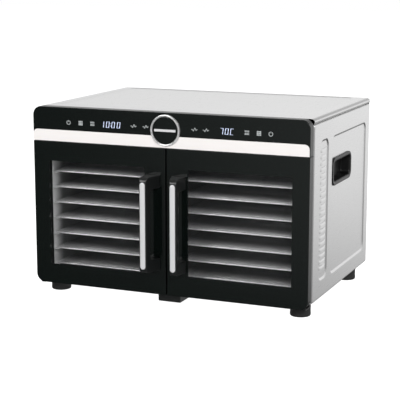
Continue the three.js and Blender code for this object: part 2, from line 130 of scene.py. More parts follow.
# ------------------------------------------------------------------ node trees
class Graph:
    """A node tree under construction."""

    def __init__(self, tree: bpy.types.NodeTree) -> None:
        """Takes a tree over."""
        self.tree = tree

    def feed(self, socket: Socket, value: object) -> None:
        """Links a socket or sets its default.

        Args:
            socket: the input.
            value: another socket or a value.
        """
        if isinstance(value, Socket):
            self.tree.links.new(value, socket)
        else:
            socket.default_value = value

    def node(self, kind: str, inputs: dict | None = None, **settings: object) -> bpy.types.Node:
        """Adds a node.

        Args:
            kind: the node's type.
            inputs: sockets or values, by the input's name or number.
            settings: attributes of the node.

        Returns:
            The node.
        """
        made = self.tree.nodes.new(kind)
        for key, value in settings.items():
            setattr(made, key, value)
        for label, value in (inputs or {}).items():
            self.feed(made.inputs[label], value)
        return made

    def math(self, operation: str, first: object, second: object) -> Socket:
        """Adds a Math node on two sockets or numbers and returns its output."""
        return self.node("ShaderNodeMath", {0: first, 1: second}, operation=operation).outputs[0]

    def mix(self, blend: str, factor: object, first: object, second: object) -> Socket:
        """Adds a colour Mix node and returns its output.

        Args:
            blend: the node's blend type.
            factor: share of the second colour.
            first: the first colour.
            second: the second colour.

        Returns:
            The mixed colour's socket.
        """
        inputs = {"Factor": factor, "A": first, "B": second}
        return self.node("ShaderNodeMix", inputs, data_type="RGBA", blend_type=blend).outputs["Result"]

    def ramp(
        self, value: Socket, edge: Point, shade: Sequence[object] = (0.0, 1.0), kind: str = "SMOOTHSTEP"
    ) -> Socket:
        """Maps a value from one range to another.

        Args:
            value: what is mapped.
            edge: where the ramp starts and ends.
            shade: the results at those ends, numbers or sockets.
            kind: the node's interpolation.

        Returns:
            The result's socket.
        """
        labels = ("Value", "From Min", "From Max", "To Min", "To Max")
        inputs = dict(zip(labels, (value, *edge, *shade)))
        return self.node("ShaderNodeMapRange", inputs, interpolation_type=kind).outputs["Result"]

    def axes(self, vector: Socket) -> bpy.types.NodeOutputs:
        """Splits a vector and returns the sockets X, Y and Z."""
        return self.node("ShaderNodeSeparateXYZ", {0: vector}).outputs


class ShaderGroup(Graph):
    """A shared shader effect: object coordinates go in, plain values come out."""

    PATTERN = ("Shade", "Roughness", "Height")

    def __init__(self, name: str, inputs: dict[str, float], outputs: Sequence[str] = PATTERN) -> None:
        """Makes the group.

        Args:
            name: the group's name.
            inputs: its float inputs and their defaults, after its Vector input.
            outputs: names of its float outputs.
        """
        super().__init__(bpy.data.node_groups.new(name, "ShaderNodeTree"))
        face = self.tree.interface
        face.new_socket("Vector", in_out="INPUT", socket_type="NodeSocketVector")
        for label, value in inputs.items():
            face.new_socket(label, in_out="INPUT", socket_type="NodeSocketFloat").default_value = value
        for label in outputs:
            face.new_socket(label, in_out="OUTPUT", socket_type="NodeSocketFloat")
        self.given = self.node("NodeGroupInput").outputs

    def done(self, *values: Socket) -> bpy.types.NodeTree:
        """Feeds the group's outputs in their order and returns its tree."""
        self.node("NodeGroupOutput", dict(enumerate(values)))
        return self.tree

    def noise(self, scale: object, detail: float, stretch: Triple = (1.0, 1.0, 1.0)) -> Socket:
        """Adds a Noise Texture on the group's vector.

        Args:
            scale: a socket or a number.
            detail: octaves.
            stretch: what multiplies the coordinates along each axis.

        Returns:
            The noise value's socket.
        """
        inputs = {0: self.given["Vector"], 1: stretch}
        where = self.node("ShaderNodeVectorMath", inputs, operation="MULTIPLY").outputs[0]
        given = {"Vector": where, "Scale": scale, "Detail": detail}
        return self.node("ShaderNodeTexNoise", given).outputs["Fac"]

    def around(self, value: Socket, middle: object, swing: object) -> Socket:
        """Maps a 0..1 value to middle plus or minus half of swing."""
        centred = self.math("SUBTRACT", value, 0.5)
        return self.math("ADD", self.math("MULTIPLY", centred, swing), middle)

    def roughness(self, value: Socket) -> Socket:
        """The group's given roughness, varied by its given swing."""
        return self.around(value, self.given["Roughness"], self.given["Swing"])


class Grain(Enum):
    """Direction that a brushed surface's scratches run in, as a coordinate stretch."""

    ALONG_X = (1.0, 90.0, 90.0)
    ALONG_Y = (90.0, 1.0, 90.0)
    ALONG_Z = (90.0, 90.0, 1.0)


class GroupShelf:
    """The node groups that several finishes share, each built once."""

    def __init__(self) -> None:
        """Builds every shared group."""
        self.brushed = {grain: self._brushed(grain) for grain in Grain}
        self.moulded = self._moulded()
        self.handled = self._handled()
        # edge mask: partly wear, partly a painted edge highlight
        self.edge = self._edge()
        # painted shade: darkening deeper in the chamber, standing in for light falloff
        self.depth = self._depth()

    @staticmethod
    def _brushed(grain: Grain) -> bpy.types.NodeTree:
        """Long fine scratches with a slow drift of brightness.

        Args:
            grain: direction of the scratches.

        Returns:
            The group's tree.
        """
        inputs = {"Scale": 18.0, "Roughness": 0.3, "Swing": 0.12, "Contrast": 0.08}
        group = ShaderGroup(f"Brushed {grain.name}", inputs)
        fine = group.noise(group.given["Scale"], 3.0, grain.value)
        drift = group.math("MULTIPLY", group.noise(4.0, 2.0), 0.3)
        mixed = group.math("ADD", group.math("MULTIPLY", fine, 0.7), drift)
        shade = group.around(mixed, 1.0, group.given["Contrast"])
        return group.done(shade, group.roughness(fine), fine)

    @staticmethod
    def _moulded() -> bpy.types.NodeTree:
        """Fine spark-eroded grain of moulded plastic and rubber.

        Returns:
            The group's tree.
        """
        group = ShaderGroup("Moulded Grain", {"Scale": 900.0, "Roughness": 0.4, "Swing": 0.1})
        drift = group.noise(9.0, 2.0)
        pits = group.noise(group.given["Scale"], 2.0)
        return group.done(group.around(drift, 1.0, 0.25), group.roughness(drift), pits)

    @staticmethod
    def _handled() -> bpy.types.NodeTree:
        """Faint wiped haze on gloss and glass.

        Returns:
            The group's tree.
        """
        group = ShaderGroup("Wiped Haze", {"Scale": 14.0, "Roughness": 0.05, "Swing": 0.06})
        haze = group.noise(group.given["Scale"], 4.0, (1.0, 1.0, 0.35))
        return group.done(group.around(haze, 1.0, 0.1), group.roughness(haze), group.noise(5.0, 1.0))

    @staticmethod
    def _edge() -> bpy.types.NodeTree:
        """A mask along convex edges, broken up by noise: partly wear, partly a painted highlight that
        lightens the edges.

        Returns:
            The group's tree.
        """
        group = ShaderGroup("Edge Wear", {"Amount": 0.4}, ("Mask",))
        bend = group.node("ShaderNodeNewGeometry").outputs["Pointiness"]
        sharp = group.ramp(bend, (0.53, 0.62), kind="LINEAR")
        broken = group.math("MULTIPLY", sharp, group.noise(60.0, 3.0))
        return group.done(group.math("MULTIPLY", broken, group.given["Amount"]))

    @staticmethod
    def _depth() -> bpy.types.NodeTree:
        """Painted shade: a darkening that falls from one at the chamber's mouth to a rest further back,
        standing in for light fading inside the chamber.

        Returns:
            The group's tree.
        """
        group = ShaderGroup("Depth Shade", {"Mouth": -0.147, "Depth": 0.07, "Rest": 0.2}, ("Shade",))
        inside = group.math("SUBTRACT", group.axes(group.given["Vector"])["Y"], group.given["Mouth"])
        share = group.math("DIVIDE", inside, group.given["Depth"])
        return group.done(group.ramp(share, (0.0, 1.0), (1.0, group.given["Rest"])))


# ------------------------------------------------------------------ finishes
@dataclass(frozen=True)
class Coat:
    """A ready material and the record's slot that it stands for."""

    slot: Slot | None
    material: bpy.types.Material


@dataclass(frozen=True)
class Finish:
    """A surface finish: one Principled shader fed by a shared pattern group."""

    name: str
    slot: Slot | None
    colour: Colour
    roughness: float
    metallic: float = 0.0
    swing: float = 0.1
    scale: float = 900.0
    bump: float = 0.02
    bump_distance: float = 0.0002
    specular: float = 0.5
    # Edge colour and amount: partly wear, partly a painted highlight along convex edges.
    wear: float = 0.0
    wear_colour: Colour = (0.05, 0.05, 0.05)
    glow: float = 0.0
    # Painted shade towards the chamber's back: the colour it falls to, and over what depth.
    rest: float = 1.0
    fade: float = 0.07

    def group(self, shelf: GroupShelf) -> bpy.types.NodeTree:
        """The pattern group that feeds this finish."""
        return shelf.moulded

    def extra_inputs(self) -> dict[str, float]:
        """Inputs of the pattern group beyond the common ones."""
        return {}

    def alpha(self, graph: Graph) -> object:
        """The surface's alpha, a number or a socket."""
        return 1.0

    def coat(self, shelf: GroupShelf) -> Coat:
        """Builds the material.

        Args:
            shelf: the shared node groups.

        Returns:
            The finished material with its slot.
        """
        made = bpy.data.materials.new(self.name)
        made.use_nodes = True
        graph = Graph(made.node_tree)
        where = graph.node("ShaderNodeTexCoord").outputs["Object"]

        def shared(tree: bpy.types.NodeTree, inputs: dict[str, float]) -> bpy.types.NodeOutputs:
            """Adds a shared group and returns its outputs."""
            return graph.node("ShaderNodeGroup", {"Vector": where, **inputs}, node_tree=tree).outputs

        given = {"Scale": self.scale, "Roughness": self.roughness, "Swing": self.swing}
        pattern = shared(self.group(shelf), {**given, **self.extra_inputs()})
        own = (*self.colour, 1.0)
        colour = graph.mix("MULTIPLY", 1.0, own, pattern["Shade"])
        # Edges mixed towards their own colour: partly wear, partly a painted edge highlight.
        if self.wear:
            wear_and_highlight_mask = shared(shelf.edge, {"Amount": self.wear})["Mask"]
            colour = graph.mix("MIX", wear_and_highlight_mask, colour, (*self.wear_colour, 1.0))
        # Painted shade: colour darkened with depth into the chamber, in place of light falling off.
        if self.rest < 1.0:
            shade = shared(shelf.depth, {"Rest": self.rest, "Depth": self.fade})["Shade"]
            colour = graph.mix("MULTIPLY", 1.0, colour, shade)
        relief = {"Strength": self.bump, "Distance": self.bump_distance, "Height": pattern["Height"]}
        surface = {
            "Base Color": colour,
            "Metallic": self.metallic,
            "Specular IOR Level": self.specular,
            "Roughness": pattern["Roughness"],
            "Normal": graph.node("ShaderNodeBump", relief).outputs["Normal"],
            "Alpha": self.alpha(graph),
        }
        if self.glow:
            surface |= {"Emission Color": own, "Emission Strength": self.glow}
        for label, value in surface.items():
            graph.feed(made.node_tree.nodes["Principled BSDF"].inputs[label], value)
        return Coat(self.slot, made)


@dataclass(frozen=True)
class Brushed(Finish):
    """Brushed or rolled metal."""

    scale: float = 22.0
    bump: float = 0.03
    bump_distance: float = 0.00005
    grain: Grain = Grain.ALONG_Y
    contrast: float = 0.08

    def group(self, shelf: GroupShelf) -> bpy.types.NodeTree:
        """Brushed pattern in this finish's direction."""
        return shelf.brushed[self.grain]

    def extra_inputs(self) -> dict[str, float]:
        """Brightness contrast of the scratches."""
        return {"Contrast": self.contrast}


@dataclass(frozen=True)
class Gloss(Finish):
    """Smooth gloss with a wiped haze."""

    def group(self, shelf: GroupShelf) -> bpy.types.NodeTree:
        """Haze pattern."""
        return shelf.handled


@dataclass(frozen=True)
class ClearGlass(Gloss):
    """Window glass: nearly clear face on, more mirror-like at a slant."""

    clear: float = 0.1
    slant: float = 0.75

    def alpha(self, graph: Graph) -> object:
        """Alpha that rises with the facing angle."""
        facing = graph.node("ShaderNodeLayerWeight", {"Blend": 0.5}).outputs["Facing"]
        return graph.ramp(facing, (0.3, 1.0), (self.clear, self.slant), "LINEAR")


class Paint:
    """Every finish of the appliance, as ready coats."""

    def __init__(self) -> None:
        """Builds the coats."""
        shelf = GroupShelf()
        metal = {"metallic": 1.0}
        # black plastic edges lightened: partly wear, partly a painted highlight
        black = {"bump": 0.05, "wear": 0.25}
        self.outer_steel = Brushed(
            "Outer steel", Slot.OUTER_STEEL, (0.80, 0.80, 0.80), 0.29,
            # lighter steel edges: partly wear, partly a painted highlight
            wear=0.2, wear_colour=(0.92, 0.92, 0.92), contrast=0.1, **metal,
        ).coat(shelf)
        self.inner_steel = Brushed(
            "Inner steel", Slot.INNER_STEEL, (0.95, 0.95, 0.955), 0.4,
            # painted shade: inner steel darkened towards the chamber's back
            metallic=0.1, contrast=0.1, rest=0.15, fade=0.042,
        ).coat(shelf)
        self.band = Brushed(
            "Trim band", Slot.BAND, (0.83, 0.80, 0.785), 0.5,
            metallic=0.3, grain=Grain.ALONG_X, contrast=0.06,
        ).coat(shelf)
        self.strip = Brushed(
            "Handle strip", Slot.STRIP, (0.72, 0.72, 0.73), 0.45, metallic=0.45, grain=Grain.ALONG_Z,
        ).coat(shelf)
        self.fan = Brushed("Fan sheet", Slot.FAN, (0.7, 0.71, 0.72), 0.35, **metal).coat(shelf)
        self.motor = Brushed("Motor can", Slot.MOTOR, (0.5, 0.51, 0.52), 0.4, **metal).coat(shelf)
        self.heater = Brushed("Heater sheath", Slot.HEATER, (0.30, 0.24, 0.2), 0.5, **metal).coat(shelf)
        self.wire = Gloss(
            # painted shade: tray wire darkened towards the chamber's back
            "Tray wire", Slot.WIRE, (0.95, 0.95, 0.96), 0.28, metallic=0.4, rest=0.16,
        ).coat(shelf)
        self.chrome = Gloss("Badge chrome", Slot.CHROME, (0.80, 0.80, 0.80), 0.28, metallic=0.7).coat(shelf)
        self.black = Finish(
            "Black plastic", Slot.BLACK_PLASTIC, (0.008, 0.009, 0.009), 0.32, **black,
        ).coat(shelf)
        self.grip = Finish(
            "Grip plastic", Slot.BLACK_PLASTIC, (0.004, 0.004, 0.004), 0.34, specular=0.4, **black,
        ).coat(shelf)
        self.frame = Finish(
            "Frame enamel", Slot.BLACK_PLASTIC, (0.006, 0.006, 0.006), 0.5, **black,
        ).coat(shelf)
        self.gloss = Gloss(
            "Black glass print", Slot.BLACK_GLOSS, (0.003, 0.0045, 0.004), 0.06,
            swing=0.04, scale=14.0, bump_distance=0.0004,
        ).coat(shelf)
        self.window = ClearGlass(
            "Window glass", Slot.DOOR_GLASS, (0.02, 0.022, 0.022), 0.03, scale=14.0,
        ).coat(shelf)
        self.rubber = Finish("Foot rubber", Slot.RUBBER, (0.014, 0.014, 0.014), 0.6, bump=0.1).coat(shelf)
        self.board = Finish("Board mask", Slot.BOARD, (0.02, 0.14, 0.06), 0.35, scale=300.0).coat(shelf)
        self.digit = Gloss("Lit digits", Slot.BLACK_GLOSS, (0.52, 0.58, 0.76), 0.3, glow=1.0).coat(shelf)
        self.icon = Gloss("Lit icons", Slot.BLACK_GLOSS, (0.30, 0.32, 0.32), 0.4, glow=0.36).coat(shelf)
        self.floor = Finish(
            "Floor", None, (0.5, 0.5, 0.5), 0.8, specular=0.0, bump=0.0, glow=2.05,
        ).coat(shelf)


# ------------------------------------------------------------------ outlines
def in_front(u: float, v: float, w: float) -> Vector:
    """Places (x, z, y)."""
    return Vector((u, w, v))


def in_side(u: float, v: float, w: float) -> Vector:
    """Places (y, z, x)."""
    return Vector((w, u, v))


def in_plan(u: float, v: float, w: float) -> Vector:
    """Places (x, y, z)."""
    return Vector((u, v, w))


def moved(place: Place, x: float, y: float, z: float) -> Place:
    """The same placing, counted from another point."""
    return lambda u, v, w: Vector((x, y, z)) + place(u, v, w)


def even(r: float) -> Four:
    """Four equal corner radii."""
    return (r, r, r, r)


def corners(x0: float, y0: float, x1: float, y1: float) -> list[Point]:
    """Corners of a rectangle, anticlockwise."""
    return [(x0, y0), (x1, y0), (x1, y1), (x0, y1)]


def circle(sides: int) -> list[Point]:
    """Cosine and sine of evenly spaced turns."""
    turns = [2 * math.pi * i / sides for i in range(sides)]
    return [(math.cos(t), math.sin(t)) for t in turns]


def quarter(radius: float, steps: int) -> list[Point]:
    """A quarter round after its start: how far it has come in, and how far it has gone on."""
    turns = [math.pi / 2 * step / steps for step in range(1, steps + 1)]
    return [(radius * (1 - math.cos(t)), radius * math.sin(t)) for t in turns]


def millimetres(pairs: Sequence[Point], level: float = 0.0, sign: int = 1) -> list[Point]:
    """Pairs in millimetres, the second number counted from a level."""
    return [(first * MM, level + sign * second * MM) for first, second in pairs]


@dataclass(frozen=True)
class Rect:
    """A rectangle with its own corner radii: bottom left, bottom right, top right, top left."""

    x0: float
    y0: float
    x1: float
    y1: float
    radii: Four

    @classmethod
    def within(cls, box: Sequence[float], insets: Sequence[float], radii: Four) -> "Rect":
        """A rectangle set in from another one.

        Args:
            box: x0, y0, x1 and y1 of the other one.
            insets: from its left, bottom, right and top, in millimetres.
            radii: the corner radii.

        Returns:
            The rectangle.
        """
        left, bottom, right, top = (inset * MM for inset in insets)
        x0, y0, x1, y1 = box
        return cls(x0 + left, y0 + bottom, x1 - right, y1 - top, radii)

    def points(self, inset: float = 0.0, steps: int = 8) -> list[Point]:
        """Outline points, anticlockwise.

        Args:
            inset: distance inwards from the rectangle.
            steps: segments in each corner.

        Returns:
            4 * (steps + 1) points, whatever the radii.
        """
        box = corners(self.x0 + inset, self.y0 + inset, self.x1 - inset, self.y1 - inset)
        made: list[Point] = []
        for index, ((x, y), (sx, sy)) in enumerate(zip(box, corners(1, 1, -1, -1))):
            r = max(self.radii[index] - inset, LEAST_RADIUS)
            for step in range(steps + 1):
                turn = math.pi * (1 + index / 2 + step / steps / 2)
                made.append((x + sx * r + r * math.cos(turn), y + sy * r + r * math.sin(turn)))
        return made

    def flipped(self) -> "Rect":
        """The rectangle mirrored in x."""
        bl, br, tr, tl = self.radii
        return Rect(-self.x1, self.y0, -self.x0, self.y1, (br, bl, tl, tr))


# ------------------------------------------------------------------ mesh helpers
def stack(outline: Callable[[float], list[Point]], stations: Sequence[Point], place: Place) -> list[Loop]:
    """Loops of one outline at several insets and depths.

    Args:
        outline: outline points for an inset.
        stations: (inset, depth) pairs.
        place: maps (u, v, depth) into the frame.

    Returns:
        One loop of points for each station.
    """
    return [[place(u, v, depth) for u, v in outline(inset)] for inset, depth in stations]


def row_of(bm: BMesh, loop: Sequence[Vector]) -> Row:
    """Adds a loop's vertices to a mesh."""
    return [bm.verts.new(point) for point in loop]


def band(bm: BMesh, low: Row, high: Row, closed: bool = True) -> None:
    """Joins two rows of equal length by quads.

    Args:
        bm: the mesh to add to.
        low: the first row.
        high: the second row.
        closed: whether the rows run round to their start.
    """
    count = len(low)
    for i in range(count if closed else count - 1):
        j = (i + 1) % count
        bm.faces.new((low[i], low[j], high[j], high[i]))


def skin(bm: BMesh, loops: Sequence[Loop], ring: bool = False) -> None:
    """Joins loops of equal length to a closed solid.

    Args:
        bm: the mesh to add to.
        loops: the loops in order.
        ring: whether the last loop joins the first, instead of a cap at either end.
    """
    rows = [row_of(bm, loop) for loop in loops]
    for low, high in zip(rows, rows[1:]):
        band(bm, low, high)
    if ring:
        band(bm, rows[-1], rows[0])
    else:
        bm.faces.new(list(reversed(rows[0])))
        bm.faces.new(rows[-1])


def spun(bm: BMesh, profile: Sequence[Point], place: Place, sides: int = 48, ring: bool = False) -> None:
    """Adds a turned solid.

    Args:
        bm: the mesh to add to.
        profile: (radius, depth) points.
        place: maps (u, v, depth) into the frame; the axis is at u = v = 0.
        sides: segments round the axis.
        ring: whether the profile closes on itself, instead of a cap at either end.
    """
    loops = []
    for radius, depth in profile:
        r = max(radius, LEAST_CAP)
        loops.append([place(r * cos, r * sin, depth) for cos, sin in circle(sides)])
    skin(bm, loops, ring)


def flat(bm: BMesh, rows: Sequence[Row]) -> None:
    """Fills the flat area inside the first row and outside the others.

    Args:
        bm: the mesh to add to.
        rows: the outer edge and the edges of its holes.
    """
    verts = [vert for row in rows for vert in row]
    for triple in tessellate_polygon([[vert.co.copy() for vert in row] for row in rows]):
        if len({verts[i] for i in triple}) == 3:
            bm.faces.new([verts[i] for i in triple])


def carry(bm: BMesh, row: Row, loops: Sequence[Loop]) -> Row:
    """Carries on from an edge row through more loops.

    Args:
        bm: the mesh to add to.
        row: the edge row.
        loops: the loops that follow it.

    Returns:
        The last loop's row.
    """
    for loop in loops:
        following = row_of(bm, loop)
        band(bm, row, following)
        row = following
    return row


def mesh_of(bm: BMesh, name: str) -> bpy.types.Mesh:
    """Stores a mesh under construction and frees it.

    Args:
        bm: the mesh under construction.
        name: the stored mesh's name.

    Returns:
        The stored mesh.
    """
    mesh = bpy.data.meshes.new(name)
    bm.to_mesh(mesh)
    bm.free()
    return mesh


def in_scene(name: str, data: bpy.types.ID) -> bpy.types.Object:
    """Makes an object and links it to the scene.

    Args:
        name: the object's name.
        data: its mesh, light or camera.

    Returns:
        The object.
    """
    obj = bpy.data.objects.new(name, data)
    bpy.context.scene.collection.objects.link(obj)
    return obj


def settled(obj: bpy.types.Object) -> bpy.types.Mesh:
    """Applies an object's modifiers and removes them.

    Args:
        obj: an object with modifiers.

    Returns:
        The resulting mesh.
    """
    bpy.context.view_layer.update()
    evaluated = obj.evaluated_get(bpy.context.evaluated_depsgraph_get())
    mesh = bpy.data.meshes.new_from_object(evaluated)
    obj.modifiers.clear()
    return mesh


class Piece:
    """A visible piece under construction."""

    def __init__(self, name: str, coat: Coat, body: str = CABINET) -> None:
        """Starts a piece.

        Args:
            name: the piece's name.
            coat: its finish.
            body: the CAD body that it rides on.
        """
        self.name = name
        self.coat = coat
        self.body = body
        self.bm = bmesh.new()

    def done(self, *nodes: str) -> None:
        """Hands the closed mesh to the frame, in place of CAD nodes."""
        bmesh.ops.recalc_face_normals(self.bm, faces=self.bm.faces)
        adopt(self.name, mesh_of(self.bm, self.name), self.coat, self.body, nodes)

    def done_as_sheet(self, outside: Vector, thickness: float, node: str) -> None:
        """Gives an open skin its thickness on the inside and hands it to the frame.

        Args:
            outside: a direction that the skin's faces mostly look in.
            thickness: thickness of the sheet.
            node: the CAD node that this piece stands for.
        """
        bm = self.bm
        bmesh.ops.remove_doubles(bm, verts=bm.verts, dist=WELD)
        bmesh.ops.recalc_face_normals(bm, faces=bm.faces)
        bmesh.ops.dissolve_limit(bm, angle_limit=FLAT_ANGLE, verts=bm.verts, edges=bm.edges)
        bm.normal_update()
        facing = sum((f.normal * f.calc_area() for f in bm.faces), Vector())
        if facing.dot(outside) < 0:
            bmesh.ops.reverse_faces(bm, faces=bm.faces)
        adopt(self.name, mesh_of(bm, self.name), self.coat, self.body, (node,), 50.0, thickness)


def adopt(
    name: str,
    mesh: bpy.types.Mesh,
    coat: Coat,
    body: str = CABINET,
    nodes: Sequence[str] = (),
    sharp: float = 35.0,
    thickness: float = 0.0,
) -> None:
    """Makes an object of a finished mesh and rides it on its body.

    Args:
        name: the piece's name.
        mesh: its mesh, in the row frame.
        coat: its finish.
        body: the CAD body that it rides on.
        nodes: CAD nodes that it stands for.
        sharp: angle in degrees above which an edge is drawn sharp.
        thickness: thickness that an open sheet gets on its inside.
    """
    mesh.materials.clear()
    mesh.materials.append(coat.material)
    mesh.shade_smooth()
    mesh.set_sharp_from_angle(angle=math.radians(sharp))
    obj = in_scene(name, mesh)
    if thickness:
        wall = obj.modifiers.new("Thickness", "SOLIDIFY")
        wall.thickness = thickness
        wall.offset = -1.0
    even_shading = obj.modifiers.new("Even shading", "WEIGHTED_NORMAL")
    even_shading.mode = "FACE_AREA"
    even_shading.keep_sharp = True
    obj.data = settled(obj)
    obj.data.name = name
    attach(obj, body)
    if nodes:
        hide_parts(*nodes)
    LOG.info("%s: %d faces, rides on %s", name, len(obj.data.polygons), body)


def refined(
    node: str, name: str, coat: Coat, width: float, segments: int = 2, keep_below: float = 30.0
) -> None:
    """Puts a copy of a CAD node with its sharp edges rounded in the node's place.

    Args:
        node: the CAD node.
        name: the new piece's name.
        coat: its finish.
        width: width of the edge rounding.
        segments: segments across the rounding.
        keep_below: edges flatter than this many degrees stay as they are.
    """
    source = frame["nodes"][node]
    bm = bmesh.new()
    bm.from_mesh(source.data)
    bmesh.ops.remove_doubles(bm, verts=bm.verts, dist=CAD_WELD)
    bmesh.ops.dissolve_limit(bm, angle_limit=CAD_FLAT_ANGLE, verts=bm.verts, edges=bm.edges)
    limit = math.radians(keep_below)
    edges = [e for e in bm.edges if len(e.link_faces) == 2 and e.calc_face_angle(0.0) > limit]
    bmesh.ops.bevel(
        bm, geom=edges, offset=width, offset_type="OFFSET", segments=segments,
        profile=0.5, affect="EDGES", clamp_overlap=True,
    )
    adopt(name, mesh_of(bm, name), coat, source["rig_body"], (node,), 40.0)


def dress(node: str, coat: Coat) -> None:
    """Gives a CAD node that stays a better finish.

    Args:
        node: the CAD node.
        coat: its finish.
    """
    for place in frame["nodes"][node].material_slots:
        place.material = coat.material
    LOG.info("%s: CAD node kept", node)


# ------------------------------------------------------------------ geometry node tools
class GeoTool(Graph):
    """A small Geometry Nodes tree with named inputs, run once and kept as a mesh."""

    def __init__(self, name: str, **inputs: str) -> None:
        """Starts the tree.

        Args:
            name: the tree's name.
            inputs: kinds of socket by input name, with underscores for spaces.
        """
        super().__init__(bpy.data.node_groups.new(name, "GeometryNodeTree"))
        face = self.tree.interface
        for label, kind in {"Geometry": "Geometry", **inputs, "Material": "Material"}.items():
            face.new_socket(label.replace("_", " "), in_out="INPUT", socket_type=f"NodeSocket{kind}")
        face.new_socket("Geometry", in_out="OUTPUT", socket_type="NodeSocketGeometry")
        self.given = self.node("NodeGroupInput").outputs

    def vector(self, x: object, y: object, z: object) -> Socket:
        """Adds a Combine XYZ node and returns its output."""
        return self.node("ShaderNodeCombineXYZ", {"X": x, "Y": y, "Z": z}).outputs[0]

    def line(self, count: Socket, start: object, step: object) -> Socket:
        """Adds a Mesh Line node.

        Args:
            count: number of points.
            start: the first point.
            step: from one point to the next.

        Returns:
            The points.
        """
        inputs = {"Count": count, "Start Location": start, "Offset": step}
        return self.node("GeometryNodeMeshLine", inputs, mode="OFFSET").outputs[0]

    def placed(self, points: Socket, instance: Socket | None = None, **more: Socket) -> Socket:
        """Puts an instance on every point.

        Args:
            points: the points.
            instance: what is repeated, the tool's own part if not given.
            more: further inputs of the node.

        Returns:
            The instances.
        """
        if instance is None:
            part = self.node("GeometryNodeObjectInfo", {"Object": self.given["Part"]})
            instance = part.outputs["Geometry"]
        inputs = {"Points": points, "Instance": instance, **more}
        return self.node("GeometryNodeInstanceOnPoints", inputs).outputs[0]

    def close(self, geometry: Socket) -> "GeoTool":
        """Ends the tree in Realize Instances and Set Material.

        Args:
            geometry: what the tree makes.

        Returns:
            The finished tool.
        """
        real = self.node("GeometryNodeRealizeInstances", {"Geometry": geometry}).outputs[0]
        inputs = {"Geometry": real, "Material": self.given["Material"]}
        painted = self.node("GeometryNodeSetMaterial", inputs).outputs[0]
        self.node("NodeGroupOutput", {0: painted})
        return self

    def run(
        self, name: str, coat: Coat, start: bpy.types.Mesh | None = None, **values: object
    ) -> bpy.types.Mesh:
        """Runs the tree on a mesh.

        Args:
            name: the result's name.
            coat: its finish.
            start: the mesh that the tree is given.
            values: input values, with underscores for spaces.

        Returns:
            The result as a plain mesh.
        """
        obj = in_scene(name + "_maker", start or bpy.data.meshes.new(name))
        modifier = obj.modifiers.new("Tool", "NODES")
        modifier.node_group = self.tree
        values["Material"] = coat.material
        for item in self.tree.interface.items_tree:
            key = item.name.replace(" ", "_")
            if item.in_out == "INPUT" and key in values:
                modifier[item.identifier] = values[key]
        mesh = settled(obj)
        bpy.data.objects.remove(obj)
        return mesh

    def repeat(
        self,
        name: str,
        build: Callable[[BMesh], None],
        coat: Coat,
        start: bpy.types.Mesh | None = None,
        **values: object,
    ) -> bpy.types.Mesh:
        """Runs the tree with a part that is made for it and dropped afterwards.

        Args:
            name: the result's name.
            build: adds the part to an empty mesh.
            coat: the result's finish.
            start: the mesh that the tree is given.
            values: further input values.

        Returns:
            The result as a plain mesh.
        """
        bm = bmesh.new()
        build(bm)
        bmesh.ops.recalc_face_normals(bm, faces=bm.faces)
        part = in_scene(f"{name}_part", mesh_of(bm, f"{name}_part"))
        mesh = self.run(name, coat, start, Part=part, **values)
        bpy.data.objects.remove(part)
        return mesh


